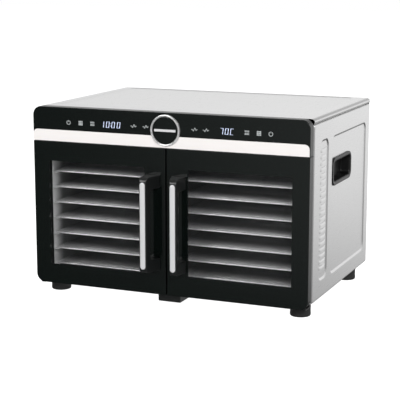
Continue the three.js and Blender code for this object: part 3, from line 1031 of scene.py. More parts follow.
class Tools:
    """The Geometry Nodes trees that repeat things."""

    def __init__(self) -> None:
        """Builds the trees."""
        self.mesh_tray = self._mesh_tray()
        self.row = self._row()
        self.ring = self._ring()
        self.scatter = GeoTool("Part on each point", Part="Object")
        self.scatter.close(self.scatter.placed(self.scatter.given["Geometry"]))

    @staticmethod
    def _mesh_tray() -> GeoTool:
        """Crossed wires inside a rectangle centred on the origin.

        Returns:
            The finished tool.
        """
        tool = GeoTool(
            "Crossed wires", Width="Float", Depth="Float", Across="Int", Along="Int",
            Wire_Radius="Float", Rise="Float",
        )
        given = tool.given
        inputs = {"Radius": given["Wire Radius"], "Resolution": 6}
        profile = tool.node("GeometryNodeCurvePrimitiveCircle", inputs).outputs[0]
        join = tool.node("GeometryNodeJoinGeometry")
        width, depth = (tool.math("MULTIPLY", given[label], 0.5) for label in ("Width", "Depth"))
        for count, half, reach, lengthwise in (
            ("Across", width, depth, True),
            ("Along", depth, width, False),
        ):

            def along(share: object, level: object = 0.0, turned: bool = lengthwise) -> Socket:
                """A point on the line that the wires are spaced along."""
                return tool.vector(share, 0.0, level) if turned else tool.vector(0.0, share, level)

            back = tool.math("MULTIPLY", reach, -1.0)
            ends = {"Start": along(back, turned=not lengthwise), "End": along(reach, turned=not lengthwise)}
            rod = tool.node("GeometryNodeCurvePrimitiveLine", ends).outputs[0]
            swept = {"Curve": rod, "Profile Curve": profile, "Fill Caps": True}
            wire = tool.node("GeometryNodeCurveToMesh", swept).outputs[0]
            gaps = tool.math("SUBTRACT", given[count], 1.0)
            step = tool.math("DIVIDE", tool.math("MULTIPLY", half, 2.0), gaps)
            start = tool.math("MULTIPLY", half, -1.0)
            rise = tool.math("MULTIPLY", given["Rise"], 1.0 if lengthwise else -1.0)
            line = tool.line(given[count], along(start, rise), along(step))
            tool.feed(join.inputs[0], tool.placed(line, wire))
        return tool.close(join.outputs[0])

    @staticmethod
    def _row() -> GeoTool:
        """A part repeated along a straight line.

        Returns:
            The finished tool.
        """
        tool = GeoTool("Row of parts", Part="Object", Count="Int", Start="Vector", Step="Vector")
        line = tool.line(tool.given["Count"], tool.given["Start"], tool.given["Step"])
        return tool.close(tool.placed(line))

    @staticmethod
    def _ring() -> GeoTool:
        """A part repeated round the y axis through a centre.

        Returns:
            The finished tool.
        """
        tool = GeoTool("Ring of parts", Part="Object", Count="Int", Centre="Vector")
        line = tool.line(tool.given["Count"], tool.given["Centre"], (0.0, 0.0, 0.0))
        index = tool.node("GeometryNodeInputIndex").outputs[0]
        turn = tool.math("DIVIDE", tool.math("MULTIPLY", index, 2 * math.pi), tool.given["Count"])
        return tool.close(tool.placed(line, Rotation=tool.vector(0.0, turn, 0.0)))

    def on_points(
        self, name: str, build: Callable[[BMesh], None], points: Sequence[Vector], coat: Coat
    ) -> None:
        """Puts a part on each point, as one piece of the cabinet.

        Args:
            name: the piece's name.
            build: adds the part to an empty mesh.
            points: where the part goes.
            coat: the piece's finish.
        """
        start = bpy.data.meshes.new(name + "_points")
        start.from_pydata([tuple(p) for p in points], [], [])
        adopt(name, self.scatter.repeat(name, build, coat, start), coat)


@dataclass
class Shop:
    """What every sub-assembly is built with."""

    paint: Paint
    tools: Tools


# ------------------------------------------------------------------ cabinet
@dataclass
class SteelShell:
    """Outer steel: top cover, embossed sides, back and base, with their screws."""

    shop: Shop
    sheet: float = 0.8 * MM
    emboss: float = 1.9 * MM
    top_emboss: float = 1.2 * MM
    slope: float = 5.0 * MM
    field_corner: float = 16 * MM
    rim_roll: float = 3 * MM
    top_roll: float = 10 * MM
    top_margins: Four = (12, 21, 20, 4)
    side_margins: Four = (-3, 30, 26, 33)
    grip_lap: float = 4
    louvre_count: int = 20
    louvre_pitch: float = 11.6 * MM
    louvre_rise: float = 1.5 * MM
    louvre_height: float = 6.2 * MM
    slot_inset: float = 8 * MM
    slot_height: float = 3 * MM
    vent_front: float = 35.7 * MM
    vent_width: float = 52 * MM
    screw_inset: float = 9 * MM

    def build(self) -> None:
        """Builds every outer sheet."""
        self.top_cover()
        for side in Side:
            self.side_panel(side)
            self.louvres(side)
        self.rear()
        refined("base_pan", "base_pan_sheet", self.shop.paint.inner_steel, 0.3 * MM)

    def top_cover(self) -> None:
        """Rolled cover with one shallow pressed field and curled lower edges."""
        low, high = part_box("top_cover")
        piece = Piece("top_cover_sheet", self.shop.paint.outer_steel)
        edge = high.x - self.top_roll
        outline = (-edge, low.y, edge, high.y)
        field = Rect.within(outline, self.top_margins, even(self.field_corner))
        rim = [in_plan(u, v, high.z) for u, v in corners(*outline)]
        self.pressed(piece.bm, rim, [(field, [])], in_plan, high.z, -self.top_emboss)
        for sign in (-1, 1):
            front, back = (
                [Vector((sign * (edge + u), y, high.z + v)) for u, v in self.roll_section()]
                for y in (low.y, high.y)
            )
            band(piece.bm, row_of(piece.bm, front), row_of(piece.bm, back), closed=False)
        piece.done_as_sheet(Vector((0, 0, 1)), self.sheet, "top_cover")

    def roll_section(self) -> list[Point]:
        """Section of the cover's rolled edge.

        Returns:
            Points (outwards, up) from the end of the flat.
        """
        section = [(0.0, 0.0), (2.2 * MM, 0.0)]
        steps = 7
        turn = 0.0
        for radius, degrees in ((9.0 * MM, 55), (2.2 * MM, 35), (8.2 * MM, 45)):
            u, v = section[-1]
            start = turn
            for step in range(1, steps + 1):
                turn = start + math.radians(degrees) * step / steps
                across = radius * (math.sin(turn) - math.sin(start))
                section.append((u + across, v + radius * (math.cos(turn) - math.cos(start))))
        section.append((6.0 * MM, section[-1][1]))
        return section

    def pressed(
        self,
        bm: BMesh,
        rim: Loop,
        fields: Sequence[tuple[Rect, Sequence[Rect]]],
        place: Place,
        level: float,
        drop: float,
    ) -> Row:
        """A flat sheet with pressed fields.

        Args:
            bm: the mesh to add to.
            rim: the flat sheet's outer edge.
            fields: each pressed field with the holes in its floor.
            place: maps (u, v, depth) into the frame.
            level: depth coordinate of the sheet's face.
            drop: how far the fields go in, with its sign.

        Returns:
            The vertices of the outer edge.
        """
        edges = [[place(u, v, level) for u, v in field.points()] for field, holes in fields]
        rows = [row_of(bm, loop) for loop in (rim, *edges)]
        flat(bm, rows)
        steps = 5
        shares = [step / steps for step in range(1, steps + 1)]
        profile = [(s * self.slope, level + drop * (1 - math.cos(math.pi * s)) / 2) for s in shares]
        for (field, holes), row in zip(fields, rows[1:]):
            last = carry(bm, row, stack(field.points, profile, place))
            cuts = [[place(u, v, level + drop) for u, v in hole.points(steps=4)] for hole in holes]
            flat(bm, [last, *(row_of(bm, cut) for cut in cuts)])
        return rows[0]

    def side_panel(self, side: Side) -> None:
        """Side sheet with a pressed field round the grip and a pressed louvre column.

        Args:
            side: which side of the cabinet.
        """
        node = f"side_panel_{side.word}"
        low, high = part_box(node)
        grip_low, grip_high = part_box(f"grip_{side.word}")
        level = side.outer(low, high)
        piece = Piece(f"{node}_sheet", self.shop.paint.outer_steel)
        outer = Rect(low.y, low.z, high.y, high.z, even(3.5 * MM))
        vent = self.vent_rect()
        around = (grip_low.y, low.z, high.y, high.z)
        field = Rect.within(around, self.side_margins, even(self.field_corner))
        grip = (grip_low.y, grip_low.z, grip_high.y, grip_high.z)
        mouth = Rect.within(grip, (self.grip_lap,) * 4, even(11 * MM))
        left, right = vent.x0 + self.slot_inset, vent.x1 - self.slot_inset
        tall = self.slot_height
        slots = [Rect(left, z, right, z + tall, even(1.4 * MM)) for z in self.louvre_levels()]
        rim = [in_side(u, v, level) for u, v in outer.points(self.rim_roll, 3)]
        fields = [(vent, slots), (field, [mouth])]
        row = self.pressed(piece.bm, rim, fields, in_side, level, -side.value * self.emboss)
        roll = [
            (self.rim_roll - out, level - side.value * inwards)
            for inwards, out in quarter(self.rim_roll, 4)
        ]
        carry(piece.bm, row, stack(lambda inset: outer.points(inset, 3), roll, in_side))
        piece.done_as_sheet(Vector((side.value, 0, 0)), self.sheet, node)

    def vent_rect(self) -> Rect:
        """Outline of the louvre column, seen from the side.

        Returns:
            The outline in (y, z).
        """
        low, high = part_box("side_panel_right")
        front = low.y + self.vent_front
        across = (front, low.z, front + self.vent_width, high.z)
        return Rect.within(across, (0, 33, 0, 32), even(17 * MM))

    def louvre_levels(self) -> list[float]:
        """Lower edge of every louvre slot."""
        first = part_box("side_panel_right")[0].z + 53 * MM
        return [first + self.louvre_pitch * i for i in range(self.louvre_count)]

    def louvres(self, side: Side) -> None:
        """A pressed hood over each slot.

        Args:
            side: which side of the cabinet.
        """
        vent = self.vent_rect()
        face = side.outer(*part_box(f"side_panel_{side.word}")) - side.value * self.emboss
        width = vent.x1 - vent.x0 - 13 * MM
        middle = (vent.x0 + vent.x1) / 2

        def hood(bm: BMesh) -> None:
            """One hood: a shell that bulges over its slot and opens downwards.

            Args:
                bm: the mesh to add to.
            """
            across, around = 14, 6
            skins = []
            for shrink in (0.0, 0.5 * MM):
                rows = []
                for i in range(across + 1):
                    t = 2 * i / across - 1
                    rise = max(self.louvre_rise - shrink, 0.0) * (1 - abs(t) ** 4)
                    turns = [math.pi / 2 * j / around for j in range(around + 1)]
                    rows.append(row_of(bm, [
                        Vector((
                            side.value * rise * math.sin(turn),
                            t * (width / 2 - shrink),
                            (self.louvre_height - shrink) * math.cos(turn),
                        ))
                        for turn in turns
                    ]))
                skins.append(rows)
            for rows in skins:
                for near, far in zip(rows, rows[1:]):
                    band(bm, near, far, closed=False)
            edge = [(i, around) for i in range(across + 1)]
            edge += [(across, j) for j in range(around - 1, -1, -1)]
            edge += [(i, 0) for i in range(across - 1, -1, -1)]
            edge += [(0, j) for j in range(1, around)]
            band(bm, *([rows[i][j] for i, j in edge] for rows in skins))

        name = f"louvres_{side.word}"
        mesh = self.shop.tools.row.repeat(
            name, hood, self.shop.paint.outer_steel, Count=self.louvre_count,
            Start=(face, middle, self.louvre_levels()[0] + 1 * MM), Step=(0.0, 0.0, self.louvre_pitch),
        )
        adopt(name, mesh, self.shop.paint.outer_steel, sharp=50.0)

    def rear(self) -> None:
        """Back sheet with its grilles, and the screws that hold it."""
        paint = self.shop.paint
        refined("rear_panel", "rear_panel_sheet", paint.outer_steel, 0.25 * MM)
        low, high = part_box("rear_panel")
        inset = Vector((self.screw_inset, 0.0, self.screw_inset))
        start, span = low + inset, high - low - 2 * inset
        across, up = 4, 3
        points = [
            Vector((start.x + span.x * i / across, high.y, start.z + span.z * j / up))
            for i in range(across + 1)
            for j in range(up + 1)
            if i in (0, across) or j in (0, up)
        ]
        self.shop.tools.on_points("rear_screws", pan_screw, points, paint.strip)


def pan_screw(bm: BMesh) -> None:
    """A pan-head screw whose head stands up along +y, with a raised cross.

    Args:
        bm: the mesh to add to.
    """
    profile = [(2.6, 0.0), (3.0, 0.35), (2.8, 1.0), (2.2, 1.5), (1.2, 1.75)]
    spun(bm, millimetres(profile), in_front, 20)
    for wide, deep in ((1.9, 0.5), (0.5, 1.9)):
        outline = millimetres(corners(-wide, -deep, wide, deep))
        skin(bm, stack(lambda inset: outline, millimetres([(0.0, 1.76), (0.0, 1.84)]), in_front))


# ------------------------------------------------------------------ touch panel
SEGMENTS = {
    "0": "abcdef",
    "1": "bc",
    "7": "abc",
    "C": "adef",
}
POWER_AT = (-202.7, 205.9)
WINDOW_AT = (-176.8, 183.4)
SHELF_AT = (-151.9, 160.2)
PULSE_AT = (-65.6, -40.9, 57.6, 80.5)


def window_sign() -> list[list[Point]]:
    """A square of nine panes.

    Returns:
        The outlines, in millimetres.
    """
    side, pitch = 1.15, 2.95
    levels = (-pitch, 0.0, pitch)
    return [corners(u - side, v - side, u + side, v + side) for u in levels for v in levels]


def shelf_sign() -> list[list[Point]]:
    """Two shelves, each a double line, in millimetres."""
    half, thin = 4.3, 0.5
    return [corners(-half, v - thin, half, v + thin) for v in (-3.2, -1.4, 1.4, 3.2)]


def pulse_sign() -> list[list[Point]]:
    """A zigzag between two short bars.

    Returns:
        The outlines, in millimetres.
    """
    path = [(-6.0, 0.3), (-3.6, 0.3), (-2.0, -3.0), (1.2, 3.4), (3.4, -1.6), (4.4, 0.3), (6.0, 0.3)]
    half = 0.48
    strokes = []
    for (u0, v0), (u1, v1) in zip(path, path[1:]):
        length = math.hypot(u1 - u0, v1 - v0)
        a, b = -(v1 - v0) / length * half, (u1 - u0) / length * half
        strokes.append([(u0 + a, v0 + b), (u0 - a, v0 - b), (u1 - a, v1 - b), (u1 + a, v1 + b)])
    return strokes


@dataclass
class TouchPanel:
    """Housing, glass, lit digits and icons, bright band and badge."""

    shop: Shop
    digit_height: float = 11.2
    digit_width: float = 6.4
    stroke: float = 0.9
    lean: float = 0.13
    corner: float = 17 * MM
    heel: float = 7.5 * MM
    wall: float = 2.5 * MM
    print_depths: Point = (0.02, 0.12)

    def build(self) -> None:
        """Builds the whole panel."""
        paint = self.shop.paint
        self.low, self.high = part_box("control_glass")
        self.outline = Rect(
            self.low.x, self.low.z, self.high.x, self.high.z,
            (0.4 * MM, 0.4 * MM, self.corner, self.corner),
        )
        self.housing()
        self.glass()
        refined("trim_band", "trim_band_bar", paint.band, 0.35 * MM, 3)
        self.badge()
        self.display()
        self.boards()

    def glass(self) -> None:
        """Gloss front sheet with a ground edge."""
        piece = Piece("control_glass_front", self.shop.paint.gloss)
        path = millimetres([(0.7, 0.0), (0.35, 0.12), (0.1, 0.4), (0.0, 0.8)], self.low.y)
        skin(piece.bm, stack(self.outline.points, [*path, (0.0, self.high.y)], in_front))
        piece.done("control_glass")

    def housing(self) -> None:
        """Black housing behind the glass, rounded at its back edge."""
        low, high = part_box("control_housing")
        piece = Piece("control_housing_shell", self.shop.paint.black)
        heel, wall = self.heel, self.wall
        path = [(0.0, low.y), (0.0, high.y - heel)]
        path += [(inset, high.y - heel + on) for inset, on in quarter(heel, 6)]
        path += [(heel + wall, high.y), (heel + wall, low.y + wall), (wall * 8, low.y + wall)]
        skin(piece.bm, stack(self.outline.points, path, in_front))
        piece.done("control_housing")

    def badge(self) -> None:
        """Round badge: chrome ring, black disc and a plain light bar."""
        paint = self.shop.paint
        low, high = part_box("badge")
        middle = (low + high) / 2
        radius = (high.x - low.x) / 2
        place = moved(in_front, middle.x, high.y, middle.z)
        ring = Piece("badge_ring", paint.chrome)
        section = [
            (0.0, 0.0), (0.0, 3.2), (0.5, 4.1), (1.3, 4.45),
            (2.4, 4.45), (3.3, 4.0), (3.9, 2.6), (3.9, 0.0),
        ]
        spun(ring.bm, [(radius - inset * MM, -rise * MM) for inset, rise in section], place, 96, True)
        ring.done("badge")
        disc = Piece("badge_disc", paint.gloss)
        inner = radius - 4.05 * MM
        face = [(inner, -0.1 * MM), (inner, -2.7 * MM), (inner * 0.97, -2.95 * MM)]
        spun(disc.bm, face, place, 96)
        disc.done("badge")
        bar = Piece("badge_bar", paint.strip)
        slab = Rect(-21.5 * MM, -2.3 * MM, 21.5 * MM, 2.3 * MM, even(0.9 * MM))
        stations = millimetres([(0.0, -3.0), (0.0, -3.5), (0.25, -3.75)])
        skin(bar.bm, stack(slab.points, stations, place))
        bar.done("badge")

    def display(self) -> None:
        """Digits and icons, flat on the glass."""
        level = self.low.z + 37.2 * MM
        time = Piece("time_digits", self.shop.paint.digit)
        self._number(time.bm, "1000", -113.6 * MM, level, 11.3 * MM)
        for rise in (-2.3, 2.3):
            dot = [(-0.4, -0.45), (0.4, -0.45), (0.5, 0.45), (-0.3, 0.45)]
            self._flat(time.bm, [(u, v + rise) for u, v in dot], -113.6 * MM, level)
        time.done()
        heat = Piece("temperature_digits", self.shop.paint.digit)
        self._number(heat.bm, "70C", 121.3 * MM, level, 10.2 * MM)
        heat.done()
        icons = Piece("panel_icons", self.shop.paint.icon)
        for x in POWER_AT:
            self._ring(icons.bm, x * MM, level)
        for outlines, places in (
            ([corners(-0.5, 1.2, 0.5, 4.6)], POWER_AT),
            (window_sign(), WINDOW_AT),
            (shelf_sign(), SHELF_AT),
            (pulse_sign(), PULSE_AT),
        ):
            for x in places:
                for outline in outlines:
                    self._flat(icons.bm, outline, x * MM, level)
        icons.done()

    def _flat(self, bm: BMesh, outline: Sequence[Point], x: float, z: float) -> None:
        """Adds a thin printed shape on the glass.

        Args:
            bm: the mesh to add to.
            outline: its outline in millimetres.
            x: where its origin lies.
            z: where its origin lies.
        """
        place = moved(in_front, x, self.low.y, z)
        stations = [(0.0, -depth * MM) for depth in self.print_depths]
        skin(bm, stack(lambda inset: millimetres(outline), stations, place))

    def _number(self, bm: BMesh, text: str, x: float, z: float, pitch: float) -> None:
        """Adds seven-segment characters.

        Args:
            bm: the mesh to add to.
            text: the characters.
            x: the middle of the text.
            z: the middle of the text.
            pitch: from one character to the next.
        """
        start = x - pitch * (len(text) - 1) / 2
        for place, character in enumerate(text):
            for segment in SEGMENTS[character]:
                outline = [(u + self.lean * v, v) for u, v in self._segment(segment)]
                self._flat(bm, outline, start + pitch * place, z)

    def _segment(self, segment: str) -> list[Point]:
        """Outline of one bar of a seven-segment character, upright and in millimetres.

        Args:
            segment: the bar's letter.

        Returns:
            Its four corners.
        """
        w, h, s = self.digit_width / 2, self.digit_height / 2, self.stroke
        gap = 0.25
        level = {"a": h, "d": -h}.get(segment)
        if level is not None:
            reach = w - s / 2 - gap
            return corners(-reach, max(level - s / 2, -h), reach, min(level + s / 2, h))
        left = w - s if segment in "bc" else -w
        low, high = (gap, h) if segment in "bf" else (-h, -gap)
        return corners(left, low, left + s, high)

    def _ring(self, bm: BMesh, x: float, z: float) -> None:
        """Adds the power sign's ring, open at the top.

        Args:
            bm: the mesh to add to.
            x: the ring's middle.
            z: the ring's middle.
        """
        radius, stroke, gap, steps = 4.2, 1.05, 1.0, 28
        place = moved(in_front, x, self.low.y, z)
        near, far = self.print_depths
        loops = []
        for step in range(steps + 1):
            turn = math.pi / 2 + gap / 2 + (2 * math.pi - gap) * step / steps
            section = corners(radius - stroke, near, radius, far)
            loops.append([
                place(r * math.cos(turn) * MM, r * math.sin(turn) * MM, -depth * MM)
                for r, depth in section
            ])
        skin(bm, loops)

    def boards(self) -> None:
        """Circuit boards with a few parts on them."""
        paint = self.shop.paint
        for node in ("control_board", "power_board"):
            dress(node, paint.board)
        low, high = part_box("power_board")
        size = high - low
        across, along = 5, 3
        points = [
            Vector((low.x + size.x * i / (across + 1), low.y + size.y * j / (along + 1), high.z))
            for i in range(1, across + 1)
            for j in range(1, along + 1)
        ]

        def can(bm: BMesh) -> None:
            """A round capacitor standing on the board."""
            profile = [(4.6, 0.05), (5.0, 0.4), (5.0, 13.0), (4.5, 13.6), (3.6, 13.6), (3.4, 13.3)]
            spun(bm, millimetres(profile), in_plan, 20)

        self.shop.tools.on_points("board_cans", can, points, paint.motor)


# ------------------------------------------------------------------ doors
@dataclass
class Door:
    """One glazed door with its frame, pull and steel strip."""

    shop: Shop
    side: Side
    corner: float = 17 * MM
    soft: float = 0.8 * MM
    heel: float = 7.5 * MM
    window_insets: Four = (42, 38.3, 32.5, 37.8)
    hole_insets: Four = (31.5, 31.6, 22.5, 31.0)

    def build(self) -> None:
        """Builds the door's pieces."""
        self.body = f"door_{self.side.word}"
        self.glass_node = f"door_glass_{self.side.word}"
        self.low, self.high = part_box(self.glass_node)
        self.inner, self.outer = sorted((abs(self.low.x), abs(self.high.x)))
        self.outline = self.rect((0, 0, 0, 0), (self.soft, self.corner, self.soft, self.soft))
        self.opening = self.rect(self.window_insets, even(3 * MM))
        self.border()
        self.window()
        self.door_frame()
        self.pull()

    def rect(self, insets: Sequence[float], radii: Four) -> Rect:
        """A rectangle set in from the glass.

        Args:
            insets: from the free edge, bottom, hinge edge and top, in millimetres.
            radii: corner radii on the right-hand door.

        Returns:
            The rectangle, mirrored for the left-hand door.
        """
        made = Rect.within((self.inner, self.low.z, self.outer, self.high.z), insets, radii)
        return made if self.side is Side.RIGHT else made.flipped()

    def piece(self, name: str, coat: Coat) -> Piece:
        """Starts a piece of the door."""
        return Piece(f"{self.body}_{name}", coat, self.body)

    def border(self) -> None:
        """Black printed border of the glass, with a ground outer edge."""
        piece = self.piece("border", self.shop.paint.gloss)
        front, back = self.low.y, self.high.y
        rim = millimetres([(0.0, 0.8), (0.12, 0.4), (0.35, 0.12), (0.7, 0.0)], front)
        outer = stack(self.outline.points, [(0.0, back), *rim], in_front)
        hole = stack(self.opening.points, [(0.0, front), (0.0, back)], in_front)
        skin(piece.bm, [*outer, *hole], ring=True)
        piece.done(self.glass_node)

    def window(self) -> None:
        """Clear middle of the glass, just clear of the border."""
        piece = self.piece("window", self.shop.paint.window)
        depth = 0.05 * MM
        stations = [(0.02 * MM, y) for y in (self.low.y + depth, self.high.y - depth)]
        skin(piece.bm, stack(self.opening.points, stations, in_front))
        piece.done(self.glass_node)

    def door_frame(self) -> None:
        """Black frame behind the glass, with a rounded heel and a soft window edge."""
        node = f"door_frame_{self.side.word}"
        low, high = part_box(node)
        piece = self.piece("frame", self.shop.paint.black)
        loops = stack(self.outline.points, [(0.0, low.y), (0.0, high.y - self.heel)], in_front)
        for back, on in quarter(self.heel, 6):
            reach = self.outer - back
            loops.append([
                Vector((math.copysign(min(abs(x), reach), x), high.y - self.heel + on, z))
                for x, z in self.outline.points(min(back, 1.0 * MM))
            ])
        soft = self.soft
        path = [(-soft, high.y), (-soft / 3, high.y - soft / 3), (0.0, high.y - soft), (0.0, low.y)]
        hole = self.rect(self.hole_insets, even(3 * MM))
        skin(piece.bm, [*loops, *stack(hole.points, path, in_front)], ring=True)
        piece.done(node)

    def pull(self) -> None:
        """D-shaped pull, and the crowned steel strip on its front."""
        paint = self.shop.paint
        word = self.side.word
        refined(f"handle_{word}", f"{self.body}_pull", paint.black, 1.6 * MM, 4)
        low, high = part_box(f"handle_strip_{word}")
        piece = self.piece("strip", paint.strip)
        slab = Rect(low.x, low.z, high.x, high.z, even((high.x - low.x) / 2 - 0.05 * MM))
        crown = millimetres([(0.0, 1.1), (0.25, 0.6), (0.9, 0.25), (2.2, 0.05), (3.4, 0.0)], low.y)
        skin(piece.bm, stack(slab.points, [(0.0, high.y), *crown], in_front))
        piece.done(f"handle_strip_{word}")


# ------------------------------------------------------------------ chambers
@dataclass
class Chambers:
    """Sheet-metal insides, trays, fans and heaters."""

    shop: Shop
    trays: int = 7
    rim_wire: float = 1.45 * MM
    mesh_wire: float = 0.38 * MM
    mesh_pitch: float = 4.5 * MM
    blades: int = 20

    def build(self) -> None:
        """Builds both chambers."""
        paint = self.shop.paint
        for node in ("chamber_ceiling", "chamber_floor", "motor_bulkhead"):
            refined(node, f"{node}_sheet", paint.inner_steel, 0.3 * MM, 1)
        refined("front_frame", "front_frame_plate", paint.frame, 0.4 * MM)
        refined("centre_divider", "centre_divider_wall", paint.inner_steel, 0.3 * MM, 1)
        for side in Side:
            for stem, kind, coat, width, segments, keep_below in (
                ("rack_wall", "sheet", paint.inner_steel, 0.3, 1, 30.0),
                ("fan_guard", "sheet", paint.inner_steel, 0.25, 1, 30.0),
                ("fan_motor", "can", paint.motor, 1.2, 3, 30.0),
                ("heater", "ring", paint.heater, 0.3, 1, 60.0),
            ):
                node = f"{stem}_{side.word}"
                refined(node, f"{node}_{kind}", coat, width * MM, segments, keep_below)
            self.fan(side)
            self.tray_stack(side)

    def tray_stack(self, side: Side) -> None:
        """Seven equal trays, each on its own body.

        Args:
            side: which chamber.
        """
        low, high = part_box(f"tray_{side.word}_1")
        template = self.tray_mesh(high - low)
        for level in range(1, self.trays + 1):
            node = f"tray_{side.word}_{level}"
            corner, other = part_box(node)
            mesh = template.copy()
            mesh.transform(Matrix.Translation((corner + other) / 2))
            adopt(f"{node}_wire", mesh, self.shop.paint.wire, node, (node,), 60.0)

    def tray_mesh(self, size: Vector) -> bpy.types.Mesh:
        """A wire tray centred on the origin.

        Args:
            size: width, depth and thickness.

        Returns:
            Its mesh: crossed wires inside a round rim wire.
        """
        inner = [length - 2 * self.rim_wire for length in size.xy]
        bm = bmesh.new()
        bm.from_mesh(self.shop.tools.mesh_tray.run(
            "tray_wires", self.shop.paint.wire,
            Width=inner[0] - self.mesh_pitch, Depth=inner[1] - self.mesh_pitch,
            Across=round(inner[0] / self.mesh_pitch), Along=round(inner[1] / self.mesh_pitch),
            Wire_Radius=self.mesh_wire, Rise=self.mesh_wire * 0.9,
        ))
        self._reach_rim(bm, [length / 2 for length in inner])
        rect = Rect(-size.x / 2, -size.y / 2, size.x / 2, size.y / 2, even(6 * MM))
        wire = [(self.rim_wire * (1 + cos), self.rim_wire * sin) for cos, sin in circle(8)]
        skin(bm, stack(lambda inset: rect.points(inset, 6), wire, in_plan), ring=True)
        bmesh.ops.recalc_face_normals(bm, faces=bm.faces)
        return mesh_of(bm, "tray")

    def _reach_rim(self, bm: BMesh, halves: Sequence[float]) -> None:
        """Stretches the wires' ends from the mesh field to the rim wire.

        Args:
            bm: the tray's mesh.
            halves: half of the room inside the rim wire, along x and y.
        """
        near = 0.001 * MM
        for vert in bm.verts:
            for axis, half in enumerate(halves):
                if abs(abs(vert.co[axis]) - half + self.mesh_pitch / 2) < near:
                    vert.co[axis] = math.copysign(half, vert.co[axis])

    def fan(self, side: Side) -> None:
        """Hub with a back plate, a ring of curved blades and its shaft.

        Args:
            side: which chamber.
        """
        node = f"fan_{side.word}"
        low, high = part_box(node)
        paint = self.shop.paint
        radius = (high.x - low.x) / 2
        centre = Vector(((low.x + high.x) / 2, 0.0, (low.z + high.z) / 2))
        front, back = low.y + 2 * MM, low.y + 22 * MM

        def blade(bm: BMesh) -> None:
            """One forward-curved blade, outwards from the axis.

            Args:
                bm: the mesh to add to.
            """
            steps = 5
            loops = []
            for share in (step / steps for step in range(steps + 1)):
                r = radius * (0.62 + 0.37 * share)
                lag = 0.22 * (share - 0.5) ** 2 + 0.18 * share
                section = corners(lag, front, lag + 0.012, back)
                loops.append([Vector((r * math.cos(t), y, r * math.sin(t))) for t, y in section])
            skin(bm, loops)

        bm = bmesh.new()
        bm.from_mesh(self.shop.tools.ring.repeat(
            f"{node}_blades", blade, paint.fan, Count=self.blades, Centre=tuple(centre),
        ))
        hub = [
            *millimetres([(9, 0), (13, 1.5), (14, 6)], low.y),
            *millimetres([(14, -3), (58.5, 0), (58.5, 1), (12, 1.6), (3, 2)], back),
            *millimetres([(3, -0.4), (2.6, 0)], high.y),
        ]
        spun(bm, hub, moved(in_front, centre.x, 0.0, centre.z), 40)
        bmesh.ops.recalc_face_normals(bm, faces=bm.faces)
        adopt(f"{node}_wheel", mesh_of(bm, node), paint.fan, node, (node,))


# ------------------------------------------------------------------ small outside pieces
@dataclass
class Fittings:
    """Feet, stop block, hinges, grips and the power inlet."""

    shop: Shop

    def build(self) -> None:
        """Builds every fitting."""
        paint = self.shop.paint
        for place in ("front", "rear"):
            for side in Side:
                self.foot(f"foot_{place}_{side.word}")
        refined("centre_support", "centre_support_block", paint.black, 1.2 * MM, 3)
        for side in Side:
            for level in ("upper", "lower"):
                node = f"hinge_{level}_{side.word}"
                refined(node, f"{node}_strap", paint.black, 0.3 * MM)
            self.grip(side)
        self.inlet()

    def foot(self, node: str) -> None:
        """Turned rubber foot with a soft tread edge and a waist.

        Args:
            node: the foot's CAD node.
        """
        low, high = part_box(node)
        middle = (low + high) / 2
        r = (high.x - low.x) / 2
        tall = high.z
        profile = [
            (r * 0.55, 0.8 * MM), (r * 0.6, 0.0), (r - 3 * MM, 0.0), (r - 1.6 * MM, 0.4 * MM),
            (r - 0.8 * MM, 1.6 * MM), (r - 0.5 * MM, 4 * MM), (r - 0.9 * MM, tall * 0.4),
            (r - 0.6 * MM, tall * 0.72), (r, tall * 0.8), (r, tall - 0.6 * MM), (r - 0.6 * MM, tall),
        ]
        piece = Piece(f"{node}_pad", self.shop.paint.rubber)
        spun(piece.bm, profile, moved(in_plan, middle.x, middle.y, 0.0))
        piece.done(node)

    def grip(self, side: Side) -> None:
        """Black hand cup with a rolled lip.

        Args:
            side: which side of the cabinet.
        """
        node = f"grip_{side.word}"
        low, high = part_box(node)
        rect = Rect(low.y, low.z, high.y, high.z, even(15 * MM))
        lip = [(0.0, -3.1), (0.0, -1.2), (0.3, -0.5), (0.9, -0.1), (1.8, 0.0), (5.0, -0.2)]
        cup = [(6.6, -0.9), (7.6, -2.1), (8.1, -3.9), (9.2, -17.5), (10.0, -18.9), (11.6, -19.4)]
        outside = [(9.0, -21.4), (5.0, -20.0), (5.0, -3.2)]
        path = [*reversed(lip + cup), *reversed(outside)]
        piece = Piece(f"{node}_cup", self.shop.paint.grip)
        stations = millimetres(path, side.outer(low, high), side.value)
        skin(piece.bm, stack(rect.points, stations, in_side))
        piece.done(node)

    def inlet(self) -> None:
        """Power socket with its three pins."""
        paint = self.shop.paint
        refined("power_inlet", "power_inlet_body", paint.black, 0.5 * MM, 3)
        low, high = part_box("power_inlet")
        middle = (low + high) / 2
        place = moved(in_front, middle.x, low.y + 2 * MM, middle.z)
        points = [place(u * MM, v * MM, 0.0) for u, v in ((-7, -2), (7, -2), (0, 2))]

        def pin(bm: BMesh) -> None:
            """A flat pin along +y with a chamfered tip.

            Args:
                bm: the mesh to add to.
            """
            blade = Rect(-1.0 * MM, -2.0 * MM, 1.0 * MM, 2.0 * MM, even(0.3 * MM))
            stations = millimetres([(0.0, 0.0), (0.0, 14.0), (0.5, 15.0)])
            skin(bm, stack(blade.points, stations, in_front))

        self.shop.tools.on_points("inlet_pins", pin, points, paint.chrome)


